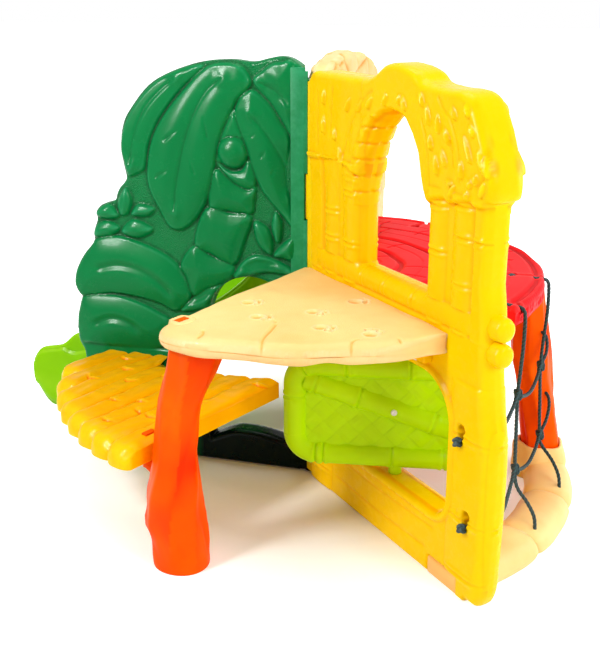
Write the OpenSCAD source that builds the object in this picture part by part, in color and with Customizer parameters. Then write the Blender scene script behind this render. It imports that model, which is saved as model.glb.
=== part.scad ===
// Toddler climbing gym: three moulded walls on one centre pole, two decks, a raft step, a slide,
// two tree-trunk posts, a stone kerb, a rope net and a gate that swivels in the arch wall.
// The origin is on the floor under the centre pole. +Z is up, the palm wall runs along -X,
// the rock wall along +Y and the arch wall at -45 degrees.

/* [Walls] */
// Thickness of the three walls
wall_t = 70; // [60:1:80]
// Radius of the moulded edges
edge_r = 12; // [8:1:16]
// Length of the palm wall from the pole
palm_w = 743; // [700:1:800]
// Height of the walls
wall_h = 1208; // [1190:1:1230]
// Length of the arch wall from the pole
arch_w = 820; // [812:1:835]
// Length of the rock wall from the pole
rock_w = 830; // [780:1:860]
// Width of the crawl arch in the palm wall
crawl_w = 250; // [200:1:280]
// Height of the crawl arch in the palm wall
crawl_h = 585; // [540:1:600]
// Height of the base bars under the wall openings
bar_h = 85; // [70:1:110]

/* [Arch wall openings] */
// Width of the lookout arch above the ledge
lookout_w = 277; // [240:1:290]
// Height of the wall above the lookout
crown_h = 115; // [100:1:130]
// Height of the lookout sill above the ledge
sill_h = 65; // [50:1:80]
// Distance from the pole to the middle of both openings
arch_mid = 418; // [410:1:425]
// Width of the gate opening
gateway_w = 520; // [515:1:530]
// Height of the gate opening's bottom edge
gateway_z = 172; // [160:1:180]
// Height of the gate opening's top edge
gateway_h = 520; // [515:1:535]

/* [Decks] */
// Height of both deck tops
deck_z = 640; // [620:1:660]
// Thickness of the decks
deck_t = 55; // [45:1:60]
// Radius of the stump deck
stump_r = 635; // [600:1:645]
// Radius of the ledge deck
ledge_r = 685; // [670:1:700]
// Width of the cleats that carry the decks
cleat_w = 26; // [20:1:34]
// Height of those cleats
cleat_h = 36; // [28:1:44]

/* [Raft step] */
// Height of the raft step's top
raft_z = 327; // [310:1:340]
// Thickness of the raft step
raft_t = 58; // [50:1:64]
// Reach of the raft step from the pole
raft_r = 722; // [700:1:735]
// Distance between the log centres
log_pitch = 71; // [68:1:73]
// Radius of the logs
log_r = 56; // [52:1:57]

/* [Slide] */
// Distance from the pole to the slide's middle line
slide_y = 400; // [390:1:410]
// Width of the slide's bed
slide_w = 350; // [320:1:360]
// Thickness of the slide's side walls
side_t = 28; // [22:1:32]
// Reach of the slide from the pole
slide_len = 1050; // [1020:1:1080]
// Thickness of the slide's bed and lip
bed_t = 34; // [28:1:40]
// Height of the wall above the doorway
lintel_h = 148; // [130:1:170]

/* [Stone kerb] */
// Outer radius of the kerb
kerb_r = 750; // [735:1:765]
// Width of the kerb
kerb_w = 135; // [125:1:140]
// Height of the stones
kerb_h = 62; // [56:1:70]
// Height of the stone that holds the right trunk
socket_h = 100; // [92:1:110]

/* [Trunks] */
// Radius of the front trunk at the floor
front_trunk_r = 72; // [68:1:74]
// Radius of the right trunk at its foot
right_trunk_r = 54; // [50:1:56]
// Size of the square tenons on the trunks
tenon = 34; // [28:1:40]

/* [Gate] */
// Reach of the gate on its long side
gate_long = 292; // [280:1:296]
// Reach of the gate on its short side
gate_short = 220; // [200:1:230]
// Height of the gate's lower edge
gate_z = 190; // [185:1:195]
// Height of the gate's upper edge
gate_top = 494; // [480:1:500]
// Radius of the gate's bamboo rails
rail_r = 25; // [22:0.5:26]
// Thickness of the gate's woven panel
panel_t = 18; // [14:1:22]
// Angle of the gate to the arch wall as it stands
gate_turn = 53.5; // [40:0.5:60]
// Radius of the pivot pins
pin_r = 7; // [6:0.5:8]

/* [Rope net] */
// Diameter of the rope
rope_d = 10; // [9:0.5:10.5]
// Radius of the knots
knot_r = 12; // [11:0.5:12.5]

/* [Pole and fasteners] */
// Radius of the centre pole
pole_r = 14; // [12:1:16]
// Radius of the knuckles round the pole
knuckle_r = 34; // [32:1:35]
// Radius of the screw shanks
screw_r = 3; // [2.5:0.5:3.5]
// Radius of the screw heads
head_r = 7; // [6:0.5:8]

/* [Hidden] */
$fn = 48;

// Clearances: between fixed faces, round a pin that turns, and round a rope
fit = 0.5;
run_fit = 0.05;
rope_fit = 2;
// Directions of the walls and of the bisector between the palm wall and the arch wall
palm_a = 180;
arch_a = -45;
rock_a = 90;
half_a = 247.5;
// Heights of the walls and of their openings
palm_h = wall_h;
arch_h = wall_h + 12;
rock_h = wall_h - 1;
lookout_h = arch_h - crown_h;
door_h = wall_h - lintel_h;
// Height of one knuckle with its gap
knuckle_pitch = 0.106 * wall_h;
// Start of the wall slabs, outside the knuckles
wall_u = knuckle_r + 2;
face = wall_t / 2;
deck_b = deck_z - deck_t;
raft_b = raft_z - raft_t;
// Who carries each knuckle, from the floor up
knuckle_of = ["palm", "arch", "rock", "palm", "arch", "palm", "rock", "arch", "palm"];
knuckle_gap = 1;
// Knuckle that shows through a gap in the palm wall's lip
lip_gap = 6;
pole_floor = 6;
// Colours
green = [0.0, 0.45, 0.24];
yellow = [1.0, 0.83, 0.0];
tan_stone = [1.0, 0.87, 0.58];
red = [0.86, 0.13, 0.16];
orange = [1.0, 0.33, 0.02];
raft_yellow = [1.0, 0.68, 0.0];
lime = [0.6, 0.82, 0.0];
rope_teal = [0.06, 0.2, 0.2];
steel = [0.8, 0.8, 0.8];

// Curves and moulded slabs

// Point of a smooth curve between p1 and p2
function blend(p0, p1, p2, p3, t) =
    0.5 * (2 * p1 + (p2 - p0) * t + (2 * p0 - 5 * p1 + 4 * p2 - p3) * t * t
    + (3 * p1 - p0 - 3 * p2 + p3) * t * t * t);

// Smooth curve through points, with n steps between each two
function curve(p, n) = [
    for (i = [0 : len(p) - 2])
        for (j = [0 : n - 1])
            blend(p[max(i - 1, 0)], p[i], p[i + 1], p[min(i + 2, len(p) - 1)], j / n),
    p[len(p) - 1]
];

function unit(v) = v / norm(v);
// Left-hand normal of a flat direction
function left(v) = [-v[1], v[0]];

// Closed counter-clockwise outline moved inwards by d
function inset(p, d) = [
    for (i = [0 : len(p) - 1])
        let (a = left(unit(p[i] - p[(i + len(p) - 1) % len(p)])))
        let (b = left(unit(p[(i + 1) % len(p)] - p[i])))
        p[i] + d * (a + b) / max(1 + a * b, 0.5)
];

// Flat slab of thickness t round an outline, with edges rounded to r in two steps
module moulded_slab(p, t, r) {
    n = len(p);
    c = r * (1 - cos(45));
    steps = [[-t / 2, r], [-t / 2 + c, c], [-t / 2 + r, 0],
        [t / 2 - r, 0], [t / 2 - c, c], [t / 2, r]];
    m = len(steps);
    pts = [for (s = steps) for (q = inset(p, s[1])) [q[0], q[1], s[0]]];
    sides = [for (k = [0 : m - 2]) for (i = [0 : n - 1])
        each [[k * n + i, (k + 1) * n + i, (k + 1) * n + (i + 1) % n],
            [k * n + i, (k + 1) * n + (i + 1) % n, k * n + (i + 1) % n]]];
    low = [[for (i = [0 : n - 1]) i]];
    high = [[for (i = [0 : n - 1]) (m - 1) * n + n - 1 - i]];
    polyhedron(pts, concat(low, sides, high));
}

// The same slab in plain layers, for an outline that bends round an opening
module layered_slab(p, t, r) {
    for (k = [0 : 3]) {
        d = r * (1 - cos(30 * k));
        h = t - 2 * r * (1 - sin(30 * k));
        translate([0, 0, -h / 2]) linear_extrude(h) polygon(inset(p, d));
    }
}

// Points along an arc from angle a0 to a1
function arc_points(c, r, a0, a1, n) = [
    for (i = [0 : n])
        let (a = a0 + (a1 - a0) * i / n)
        c + r * [cos(a), sin(a)]
];

// Rounded rectangle from its corners, with one radius below and one above
function rounded_box(x0, y0, x1, y1, rb, rt) = concat(
    arc_points([x0 + rb, y0 + rb], rb, 180, 270, 6),
    arc_points([x1 - rb, y0 + rb], rb, 270, 360, 6),
    arc_points([x1 - rt, y1 - rt], rt, 0, 90, 8),
    arc_points([x0 + rt, y1 - rt], rt, 90, 180, 8));

// Puts a wall drawing upright: x along the wall, y up, z out of the wall
module upright(angle) {
    rotate([0, 0, angle]) rotate([90, 0, 0]) children();
}

// Hole through a wall, drawn as an outline
module wall_hole(p) {
    translate([0, 0, -wall_t]) linear_extrude(2 * wall_t) polygon(p);
}

// Knuckles of one wall round the pole, with the webs that join them to the wall
module knuckles(owner, angle) {
    for (i = [0 : len(knuckle_of) - 1])
        if (knuckle_of[i] == owner)
            rotate([0, 0, angle]) translate([0, 0, i * knuckle_pitch]) {
                cylinder(r = knuckle_r, h = knuckle_pitch - knuckle_gap);
                translate([0, -face + edge_r, 0])
                    cube([wall_u + 2 * edge_r, wall_t - 2 * edge_r, knuckle_pitch - knuckle_gap]);
            }
}

// Lip of a wall that covers the knuckles at the corner between palm wall and arch wall, side +1 is its front
module corner_lip(angle, side, top) {
    u1 = wall_u + 2 * edge_r;
    corner = [face * tan(22.5) + fit, side * face];
    rotate([0, 0, angle]) mirror([0, 1, 0]) translate([0, 0, edge_r])
        linear_extrude(top - edge_r) difference() {
            polygon([[u1, side * face], corner, 0.8 * corner, [u1, side * edge_r]]);
            circle(r = knuckle_r + fit);
        }
}

// Room for the pole, closed at the floor and at the top
module pole_bore() {
    translate([0, 0, pole_floor])
        cylinder(r = pole_r + fit / 2, h = len(knuckle_of) * knuckle_pitch - 2 * pole_floor);
}

// Cleat on a wall's face that carries a deck, side +1 is the wall's own front
module cleat(u0, u1, top, side) {
    translate([u0, top - cleat_h, side > 0 ? face - edge_r : -face - cleat_w])
        cube([u1 - u0, cleat_h, cleat_w + edge_r]);
}

// Walls

// Outline of the palm wall: foot, bushes, hanging leaves, crown and pole edge
palm_curve = [[0.95, 0.0], [0.975, 0.12], [0.982, 0.27], [0.99, 0.31], [1.0, 0.413], [0.965, 0.50],
    [0.955, 0.545], [0.915, 0.613], [0.862, 0.653], [0.80, 0.70], [0.782, 0.765], [0.765, 0.83],
    [0.73, 0.872], [0.63, 0.938], [0.467, 0.98], [0.331, 0.991], [0.235, 0.988], [0.16, 0.996],
    [0.085, 1.0]];
function palm_outline() = concat(
    [[wall_u, 0]],
    curve([for (q = palm_curve) [q[0] * palm_w, q[1] * palm_h]], 3),
    [[wall_u, palm_h * 0.972]]);

// Crawl arch of the palm wall, over a bar with a humped top
crawl_u = 65;
crawl_high_r = crawl_w / 2 - 1;
function crawl_outline() = concat(
    curve([[crawl_u, bar_h - 4], [crawl_u + 0.25 * crawl_w, bar_h + 13], [crawl_u + 0.5 * crawl_w, bar_h + 21],
        [crawl_u + 0.72 * crawl_w, bar_h + 18], [crawl_u + crawl_w, bar_h - 13]], 4),
    arc_points([crawl_u + crawl_w - crawl_high_r, crawl_h - crawl_high_r], crawl_high_r, 0, 90, 8),
    arc_points([crawl_u + crawl_high_r, crawl_h - crawl_high_r], crawl_high_r, 90, 180, 8));

module palm_wall() {
    color(green) difference() {
        union() {
            upright(palm_a) difference() {
                moulded_slab(palm_outline(), wall_t, edge_r);
                wall_hole(crawl_outline());
            }
            upright(palm_a) cleat(raft_u + fit, 0.92 * palm_w, raft_b, -1);
            difference() {
                corner_lip(palm_a, -1, 0.96 * palm_h);
                translate([-wall_t, -wall_t, lip_gap * knuckle_pitch - knuckle_gap])
                    cube([wall_t + wall_u, wall_t, knuckle_pitch + knuckle_gap]);
            }
            knuckles("palm", palm_a);
        }
        pole_bore();
        raft_screw_holes();
    }
}

// Outline of the arch wall: foot, pillar edge, foliage overhang and crown
pillar_u = 0.96 * arch_w;
canopy_z = arch_h - 265;
canopy_lap = 35;
canopy_out = 14;
canopy_u = wall_u + 3;
arch_edge_r = 20;
arch_curve = [[0.97, 0], [0.988, 0.03], [0.995, 0.096], [1.0, 0.182], [1.0, 0.324], [0.98, 0.397],
    [0.97, 0.452], [0.96, 0.525], [0.955, 0.58], [0.942, 0.633]];
canopy_curve = [[0.945, 0.783], [0.965, 0.79], [0.968, 0.82], [0.955, 0.855], [0.938, 0.88], [0.908, 0.92],
    [0.885, 0.944], [0.86, 0.96], [0.82, 0.968], [0.75, 0.968], [0.664, 0.973], [0.62, 0.99], [0.55, 1.0],
    [0.48, 0.998], [0.42, 0.975], [0.36, 0.966], [0.2, 0.966], [0.085, 0.965], [0.06, 0.957]];
function arch_shares(p, n) = curve([for (q = p) [q[0] * arch_w, q[1] * arch_h]], n);
function canopy_top() = arch_shares(canopy_curve, 3);
function arch_outline() = concat([[wall_u, 0]], arch_shares(arch_curve, 2),
    [[0.942 * arch_w, canopy_z + canopy_lap], [wall_u, canopy_z + canopy_lap]]);

// Lookout with a pointed top; the canopy's edge runs round it, d outside it
lookout_sill = deck_z + sill_h;
lookout_spring = lookout_h - 190;
canopy_in = 5;
function lookout_top(d) = let (h = lookout_w / 2) curve([[arch_mid - 0.97 * h - d, lookout_spring + 40],
    [arch_mid - 0.7 * h - 0.8 * d, lookout_h - 72 + 0.6 * d],
    [arch_mid - 0.38 * h - 0.5 * d, lookout_h - 18 + 0.9 * d], [arch_mid, lookout_h + d],
    [arch_mid + 0.38 * h + 0.5 * d, lookout_h - 14 + 0.9 * d],
    [arch_mid + 0.7 * h + 0.8 * d, lookout_h - 65 + 0.6 * d],
    [arch_mid + 0.97 * h + d, lookout_spring + 40]], 3);
function lookout_outline() = let (h = lookout_w / 2, top = lookout_top(0)) concat(
    [[arch_mid - h, lookout_sill], [arch_mid + h, lookout_sill], [arch_mid + h, lookout_spring]],
    [for (i = [len(top) - 1 : -1 : 0]) top[i]],
    [[arch_mid - h, lookout_spring]]);
function canopy_outline() = let (h = lookout_w / 2 + canopy_in) concat(
    [[canopy_u, canopy_z - 75], [0.22 * arch_w, canopy_z - 55], [arch_mid - h, canopy_z - 34]],
    lookout_top(canopy_in),
    [[arch_mid + h, canopy_z - 30], [0.87 * arch_w, canopy_z - 12]],
    canopy_top(), [[canopy_u, 0.945 * arch_h]]);

// Gate opening below the decks
gateway_low_r = 60;
gateway_high_r = 105;
function gateway_outline(d) = rounded_box(arch_mid - gateway_w / 2 - d, gateway_z - d,
    arch_mid + gateway_w / 2 + d, gateway_h + d, gateway_low_r + d, gateway_high_r + d);

// Keyholes for the two wall ropes: a round hole with a narrow slot below it
keyhole_u = [726, 756];
keyhole_z = [399, 194];
keyhole_r = 13;
keyhole_drop = 28;
slot_r = rope_d / 2 + rope_fit;
module keyhole(u, z) {
    translate([u, z + keyhole_drop, -wall_t]) cylinder(r = keyhole_r, h = 2 * wall_t);
    translate([u, z, -wall_t]) cylinder(r = slot_r, h = 2 * wall_t);
    translate([u - slot_r, z, -wall_t]) cube([2 * slot_r, keyhole_drop, 2 * wall_t]);
}

// Two bamboo columns on each pillar, and the bamboo ends beside the deck
column_r = face + 7;
column_low = deck_z + 8;
column_high = canopy_z - 8;
// Rings at the joints of the bamboo, as shares of a column's height
joint_at = [0.2, 0.55, 0.86];
joint_h = 9;
joint_out = 2;
column_gap = 1.6;
column_in = lookout_w / 2 + column_r + joint_out + column_gap;
column_step = 2 * (column_r + joint_out + column_gap);
column_u = [arch_mid - column_in - column_step, arch_mid - column_in,
    arch_mid + column_in, arch_mid + column_in + column_step];
module column(u) {
    translate([u, column_low, 0]) rotate([-90, 0, 0]) {
        cylinder(r = column_r, h = column_high - column_low);
        for (t = joint_at)
            translate([0, 0, t * (column_high - column_low)])
                cylinder(r = column_r + joint_out, h = joint_h);
    }
}
stub_r = 24;
stub_len = 32;
stub_in = 40;
stub_tip = 10;
module stub(z) {
    translate([pillar_u - stub_in, z, 0]) rotate([0, 90, 0])
        cylinder(r = stub_r, h = stub_len + stub_in - stub_tip);
    translate([pillar_u + stub_len - stub_tip, z, 0]) rotate([0, 90, 0])
        cylinder(r1 = stub_r, r2 = stub_r - stub_tip, h = stub_tip);
}

// Tongue of the kerb through the arch wall's foot
tongue_h = 45;
tongue_u0 = kerb_r - kerb_w;
tongue_u1 = kerb_r - 22;

// Raised border round the gate opening
border = 22;
border_out = 6;

module arch_wall() {
    color(yellow) difference() {
        union() {
            upright(arch_a) difference() {
                union() {
                    moulded_slab(arch_outline(), wall_t, arch_edge_r);
                    layered_slab(canopy_outline(), wall_t + 2 * canopy_out, edge_r);
                    for (u = column_u) column(u);
                    for (z = [deck_z + 38, deck_z - 8]) stub(z);
                    translate([0, 0, -face - border_out])
                        linear_extrude(wall_t + 2 * border_out) polygon(gateway_outline(border));
                }
                wall_hole(lookout_outline());
                wall_hole(gateway_outline(0));
                for (i = [0, 1]) keyhole(keyhole_u[i], keyhole_z[i]);
                translate([tongue_u0 - fit, -1, -wall_t])
                    cube([tongue_u1 - tongue_u0 + 2 * fit, tongue_h + 1 + fit, 2 * wall_t]);
            }
            upright(arch_a) cleat(0.16 * arch_w, 0.74 * arch_w, deck_b, 1);
            upright(arch_a) cleat(0.16 * arch_w, 0.5 * arch_w, deck_b, -1);
            corner_lip(arch_a, 1, 0.94 * arch_h);
            knuckles("arch", arch_a);
        }
        pole_bore();
        gate_place()
            for (z = [gateway_z - pin_set, gateway_h])
                translate([0, 0, z]) cylinder(r = pin_r + fit / 2, h = pin_set);
        stump_screw_holes();
        ledge_screw_holes();
    }
}

// Outline of the rock wall: foot, free end, rounded rocky top
rock_curve = [[1.0, 0.0], [1.0, 0.3], [0.985, 0.45], [1.0, 0.6], [0.985, 0.74], [0.93, 0.85],
    [0.80, 0.918], [0.723, 0.954], [0.561, 0.987], [0.44, 0.985], [0.367, 1.0], [0.222, 0.994],
    [0.112, 0.983], [0.07, 0.977]];
function rock_outline() = concat(
    [[wall_u, 0]],
    curve([for (q = rock_curve) [q[0] * rock_w, q[1] * rock_h]], 3),
    [[wall_u, 0.965 * rock_h]]);

// Doorway from the stump deck to the slide, and the crawl opening below
door_w = slide_w + 2 * fit;
door_z = deck_z - bed_t;
door_low_r = 0.2;
function door_outline() =
    rounded_box(slide_y - door_w / 2, door_z, slide_y + door_w / 2, door_h, door_low_r, door_w / 2 - 1);
den_w = 400;
den_z = deck_b - cleat_h - 40;
den_low_r = 40;
den_high_r = 120;
function den_outline() =
    rounded_box(slide_y - den_w / 2, bar_h, slide_y + den_w / 2, den_z, den_low_r, den_high_r);

module rock_wall() {
    color(tan_stone) difference() {
        union() {
            upright(rock_a) difference() {
                moulded_slab(rock_outline(), wall_t, edge_r);
                wall_hole(door_outline());
                wall_hole(den_outline());
            }
            upright(rock_a) cleat(0.1 * rock_w, 0.7 * rock_w, deck_b, 1);
            knuckles("rock", rock_a);
        }
        pole_bore();
        stump_screw_holes();
        slide_screw_holes();
    }
}

module hub_pole() {
    color(steel) translate([0, 0, pole_floor])
        cylinder(r = pole_r, h = len(knuckle_of) * knuckle_pitch - 2 * pole_floor - 2);
}

// Places along the walls: u from the pole, w out of the wall
function wall_dir(a) = [cos(a), sin(a)];
function wall_out(a) = [sin(a), -cos(a)];
function on_wall(a, u, w) = u * wall_dir(a) + w * wall_out(a);
function polar(r, a) = r * [cos(a), sin(a)];
edge = face + fit;

// Decks

// Stump deck: sector between the rock wall and the arch wall, cut back beside the net
stump_cut_a = -24.5;
stump_cut_r = stump_r - 115;
stump_arch_u = 0.74 * stump_r;
bark = 4;
bark_count = 22;
function stump_outline() = concat(
    [[edge, edge * tan(22.5)], on_wall(arch_a, stump_arch_u, -edge), polar(stump_cut_r, stump_cut_a)],
    [for (i = [0 : 72])
        let (a = stump_cut_a + (acos(edge / stump_r) - stump_cut_a) * i / 72)
        i == 72 ? [edge, stump_r * sin(a)] : polar(stump_r - bark * (1 + sin(bark_count * a)) / 2, a)]);

// Growth rings and rope grooves in the deck's top
ring_r = [0.378 * stump_r, 0.551 * stump_r, stump_r - 27];
ring_w = 9;
ring_d = 5;
groove_a = [-21.8, 3.1, 68.8];
groove_r0 = stump_r - 90;
groove_d = 2 * rope_d;
recess_r = 14;
recess_d = 26;
module rope_groove(a) {
    rotate([0, 0, a]) {
        translate([groove_r0, -slot_r, deck_z - groove_d])
            cube([stump_r, 2 * slot_r, groove_d + 1]);
        translate([groove_r0, 0, deck_z - recess_d]) cylinder(r = recess_r, h = recess_d + 1);
    }
}

module stump_deck() {
    color(red) difference() {
        translate([0, 0, deck_b]) linear_extrude(deck_t) polygon(stump_outline());
        for (r = ring_r) translate([0, 0, deck_z - ring_d])
            difference() {
                cylinder(r = r + ring_w / 2, h = ring_d + 1, $fn = 96);
                translate([0, 0, -1]) cylinder(r = r - ring_w / 2, h = ring_d + 3, $fn = 96);
            }
        for (a = groove_a) rope_groove(a);
        translate([right_top[0] - tenon / 2 - fit, right_top[1] - tenon / 2 - fit, deck_b - 1])
            cube([tenon + 2 * fit, tenon + 2 * fit, tenon_h + 1 + fit]);
        stump_screw_holes();
    }
}

// Ledge deck: rock slab between the arch wall and the bisector, with a round tip over the front trunk
ledge_back_a = 250.6;
tip_r = 60;
ledge_in = 26;
ledge_edge_r = 10;
wave = 4;
tip_a = ledge_back_a + asin(tip_r / (ledge_r - tip_r));
ledge_end_a = 360 + arch_a - asin(edge / ledge_r);
function ledge_outline() = concat(
    [polar(54, ledge_back_a)],
    arc_points(polar(ledge_r - tip_r, tip_a), tip_r, ledge_back_a - 90, tip_a, 8),
    [for (i = [1 : 40])
        let (t = i / 40)
        let (a = tip_a + (ledge_end_a - tip_a) * t)
        i == 40 ? on_wall(arch_a, ledge_r - ledge_in, edge)
            : polar(ledge_r - ledge_in * pow(t, 5) + wave * sin(1080 * t), a)],
    [on_wall(arch_a, 42, edge)]);

module ledge_deck() {
    color(tan_stone) difference() {
        translate([0, 0, deck_b + deck_t / 2]) moulded_slab(ledge_outline(), deck_t, ledge_edge_r);
        translate([front_tenon[0], front_tenon[1], deck_b - 1]) rotate([0, 0, half_a])
            translate([-tenon / 2 - fit, -tenon / 4 - fit, 0])
            cube([tenon + 2 * fit, tenon / 2 + 2 * fit, deck_t + 2]);
        ledge_screw_holes();
    }
}

// Raft step: eight logs side by side along the bisector
log_count = 8;
log_a = half_a - 180;
raft_gap = 3;
short_y = -125;
raft_u = 0.6 * palm_w;
module raft_log(k) {
    t = raft_gap + log_r + log_pitch * k;
    q0 = -sqrt(raft_r * raft_r - t * t) + log_r;
    rotate([0, 0, log_a]) translate([q0, t, raft_z - log_r]) {
        sphere(r = log_r);
        rotate([0, 90, 0]) cylinder(r = log_r, h = raft_r);
    }
}

module raft_step() {
    color(raft_yellow) difference() {
        for (k = [0 : log_count - 1]) raft_log(k);
        translate([-2 * raft_r, -2 * raft_r, raft_b - raft_r]) cube([4 * raft_r, 4 * raft_r, raft_r]);
        translate([-2 * raft_r, -edge, 0]) cube([4 * raft_r, 2 * raft_r, 2 * raft_r]);
        translate([-raft_u, short_y, 0]) cube([4 * raft_r, 2 * raft_r, 2 * raft_r]);
        translate([branch[0], branch[1], 0]) rotate([0, 0, log_a])
            translate([-tenon / 2 - fit, -tenon / 4 - fit, 0])
            cube([tenon + 2 * fit, tenon / 2 + 2 * fit, 2 * raft_z]);
        translate([front_trunk_line[4][0], front_trunk_line[4][1], 0])
            cylinder(r = 1.05 * front_trunk_line[4][3] + trunk_room, h = 2 * raft_z);
        raft_screw_holes();
    }
}

// Trunks

// Rings of points joined into one closed body
module loft(rings) {
    n = len(rings[0]);
    m = len(rings);
    sides = [for (k = [0 : m - 2]) for (i = [0 : n - 1])
        each [[k * n + i, (k + 1) * n + i, (k + 1) * n + (i + 1) % n],
            [k * n + i, (k + 1) * n + (i + 1) % n, k * n + (i + 1) % n]]];
    low = [[for (i = [0 : n - 1]) i]];
    high = [[for (i = [0 : n - 1]) (m - 1) * n + n - 1 - i]];
    polyhedron([for (r = rings) each r], concat(low, sides, high));
}

// Section of a trunk, with three soft ridges that wind up the bark
trunk_sides = 14;
function trunk_ring(s) = [for (j = [0 : trunk_sides - 1])
    let (a = 360 * j / trunk_sides)
    let (r = s[3] * (1 + 0.05 * sin(3 * a + s[2] / 2)))
    [s[0] + r * cos(a), s[1] + r * sin(a), s[2]]];

// Stations of the front trunk: place, height and radius
front_trunk_line = [[-189, -579, 0, front_trunk_r], [-193, -579, 60, front_trunk_r],
    [-200, -581, 115, front_trunk_r + 1], [-203, -586, 180, front_trunk_r - 2],
    [-188, -586, 250, front_trunk_r - 9], [-178, -586, 330, front_trunk_r - 14],
    [-164, -586, 430, front_trunk_r - 14], [-141, -585, 520, front_trunk_r - 7],
    [-128, -584, deck_b, front_trunk_r - 2]];
// Room for the front trunk in the raft's side
trunk_room = 3;
front_tenon = [-174, -566];
// Side branch that carries the raft and shows through its slot
branch = [-281, -547];
branch_t = 40;
branch_len = 110;
branch_root = [-184, -585];
branch_a = atan2(branch_root[1] - branch[1], branch_root[0] - branch[0]);

module front_trunk() {
    color(orange) union() {
        loft([for (s = curve(front_trunk_line, 2)) trunk_ring(s)]);
        translate([front_tenon[0], front_tenon[1], deck_b - 10]) rotate([0, 0, half_a])
            translate([-tenon / 2, -tenon / 4, 0]) cube([tenon, tenon / 2, deck_t + 10]);
        translate([branch[0], branch[1], raft_b - branch_t]) rotate([0, 0, branch_a])
            translate([-tenon / 2, -tenon / 2, 0]) cube([branch_len, tenon, branch_t]);
        translate([branch[0], branch[1], raft_b - branch_t]) rotate([0, 0, log_a])
            translate([-tenon / 2, -tenon / 4, 0]) cube([tenon, tenon / 2, branch_t + raft_t - 2]);
    }
}

// Stations of the right trunk, from the socket in the kerb to the stump deck
socket_floor = 40;
right_foot = polar(kerb_r - 83.5, 13.9);
right_top = polar(stump_r - 41, 14.9);
function right_mid(z) = right_foot + (right_top - right_foot) * max(z - socket_h, 0) / (deck_b - socket_h);
function right_spot(z, d) = [right_mid(z)[0], right_mid(z)[1], z, right_trunk_r + d];
right_trunk_line = [right_spot(socket_floor, -1), right_spot(socket_h, 0), right_spot(200, -1),
    right_spot(300, 0), right_spot(365, 4), right_spot(450, 0), right_spot(530, -2), right_spot(deck_b, 0)];
tenon_h = 30;
// Rope holes through the right trunk: a point inside, and where the hole points
trunk_hole = [for (z = [450, 268]) [right_mid(z)[0], right_mid(z)[1], z]];
trunk_hole_a = [-45, -50];

module right_trunk() {
    color(orange) difference() {
        union() {
            loft([for (s = curve(right_trunk_line, 2)) trunk_ring(s)]);
            translate([right_top[0] - tenon / 2, right_top[1] - tenon / 2, deck_b - 10])
                cube([tenon, tenon, tenon_h + 10]);
        }
        for (i = [0, 1]) translate(trunk_hole[i]) rotate([0, 90, trunk_hole_a[i]])
            translate([0, 0, -2 * right_trunk_r]) cylinder(r = slot_r, h = 4 * right_trunk_r);
    }
}

// Slide

// Top of the bed from the lip to the run-out, and the wavy top of the side walls, as reach and height
bed_low = 28;
lip_in = 90;
bed_shares = [[0.076, 0.9875], [0.143, 0.898], [0.286, 0.633], [0.457, 0.44], [0.629, 0.27],
    [0.762, 0.1625], [0.857, 0.109], [0.981, 0.097]];
side_shares = [[0.996, 0.234], [0.962, 0.278], [0.892, 0.331], [0.842, 0.419], [0.762, 0.456], [0.657, 0.469],
    [0.571, 0.55], [0.476, 0.6125], [0.381, 0.656], [0.292, 0.7625], [0.229, 0.875], [0.143, 1.05]];
under_shares = [[0.114, 0.828], [0.286, 0.539], [0.457, 0.346], [0.629, 0.176], [0.743, 0.07], [0.819, 0],
    [0.938, 0], [0.992, 0.1125], [0.996, 0.234]];
function slide_shares(p) = [for (q = p) [-q[0] * slide_len, q[1] * deck_z]];
function bed_line() = curve(concat([[-edge, deck_z]], slide_shares(bed_shares)), 4);
function side_line() = curve(concat(slide_shares(side_shares), [[-edge, 1.14 * deck_z]]), 3);
function under_line() = curve(concat([[-edge, 0.9 * deck_z]], slide_shares(under_shares)), 3);

module slide_side(y) {
    translate([0, y, 0]) rotate([90, 0, 0]) translate([0, 0, -side_t / 2]) linear_extrude(side_t)
        polygon(concat(side_line(), under_line()));
}

module slide() {
    low = slide_y - slide_w / 2;
    top = bed_line();
    bottom = [for (i = [len(top) - 1 : -1 : 0]) [top[i][0], max(top[i][1] - bed_t, bed_low)]];
    color(lime) difference() {
        union() {
            for (s = [-1, 1]) slide_side(slide_y + s * (slide_w + side_t) / 2);
            translate([0, low + slide_w + 1, 0]) rotate([90, 0, 0]) linear_extrude(slide_w + 2)
                polygon(concat(top, bottom));
            translate([-lip_in, low, door_z]) cube([lip_in + face - fit, slide_w, bed_t]);
        }
        slide_screw_holes();
    }
}

// Stone kerb

// Section of a rounded stone, d smaller all round
function stone_section(h, d) = concat([[kerb_r - kerb_w + d, 0], [kerb_r - d, 0]],
    curve([[kerb_r - d, 0.45 * (h - d)], [kerb_r - 0.1 * kerb_w - d, 0.85 * (h - d)],
        [kerb_r - 0.4 * kerb_w, h - d], [kerb_r - 0.7 * kerb_w, 0.97 * (h - d)],
        [kerb_r - 0.95 * kerb_w + d, 0.7 * (h - d)], [kerb_r - kerb_w + d, 0.35 * (h - d)]], 2));
module stone(a0, a1, h, d) {
    rotate([0, 0, a0]) rotate_extrude(angle = a1 - a0, $fn = 96) polygon(stone_section(h, d));
}
stone_a = [-44, -24.6, -4.6, 24];
stone_gap = 0.7;
groove_in = 8;
socket_r = right_trunk_r + 5;
// Rope holes in the kerb, each with room for a knot below
kerb_hole_r = kerb_r - 38;
kerb_hole = [polar(kerb_hole_r, -22.4), polar(kerb_hole_r, -2.4)];
kerb_pocket = 28;

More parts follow.
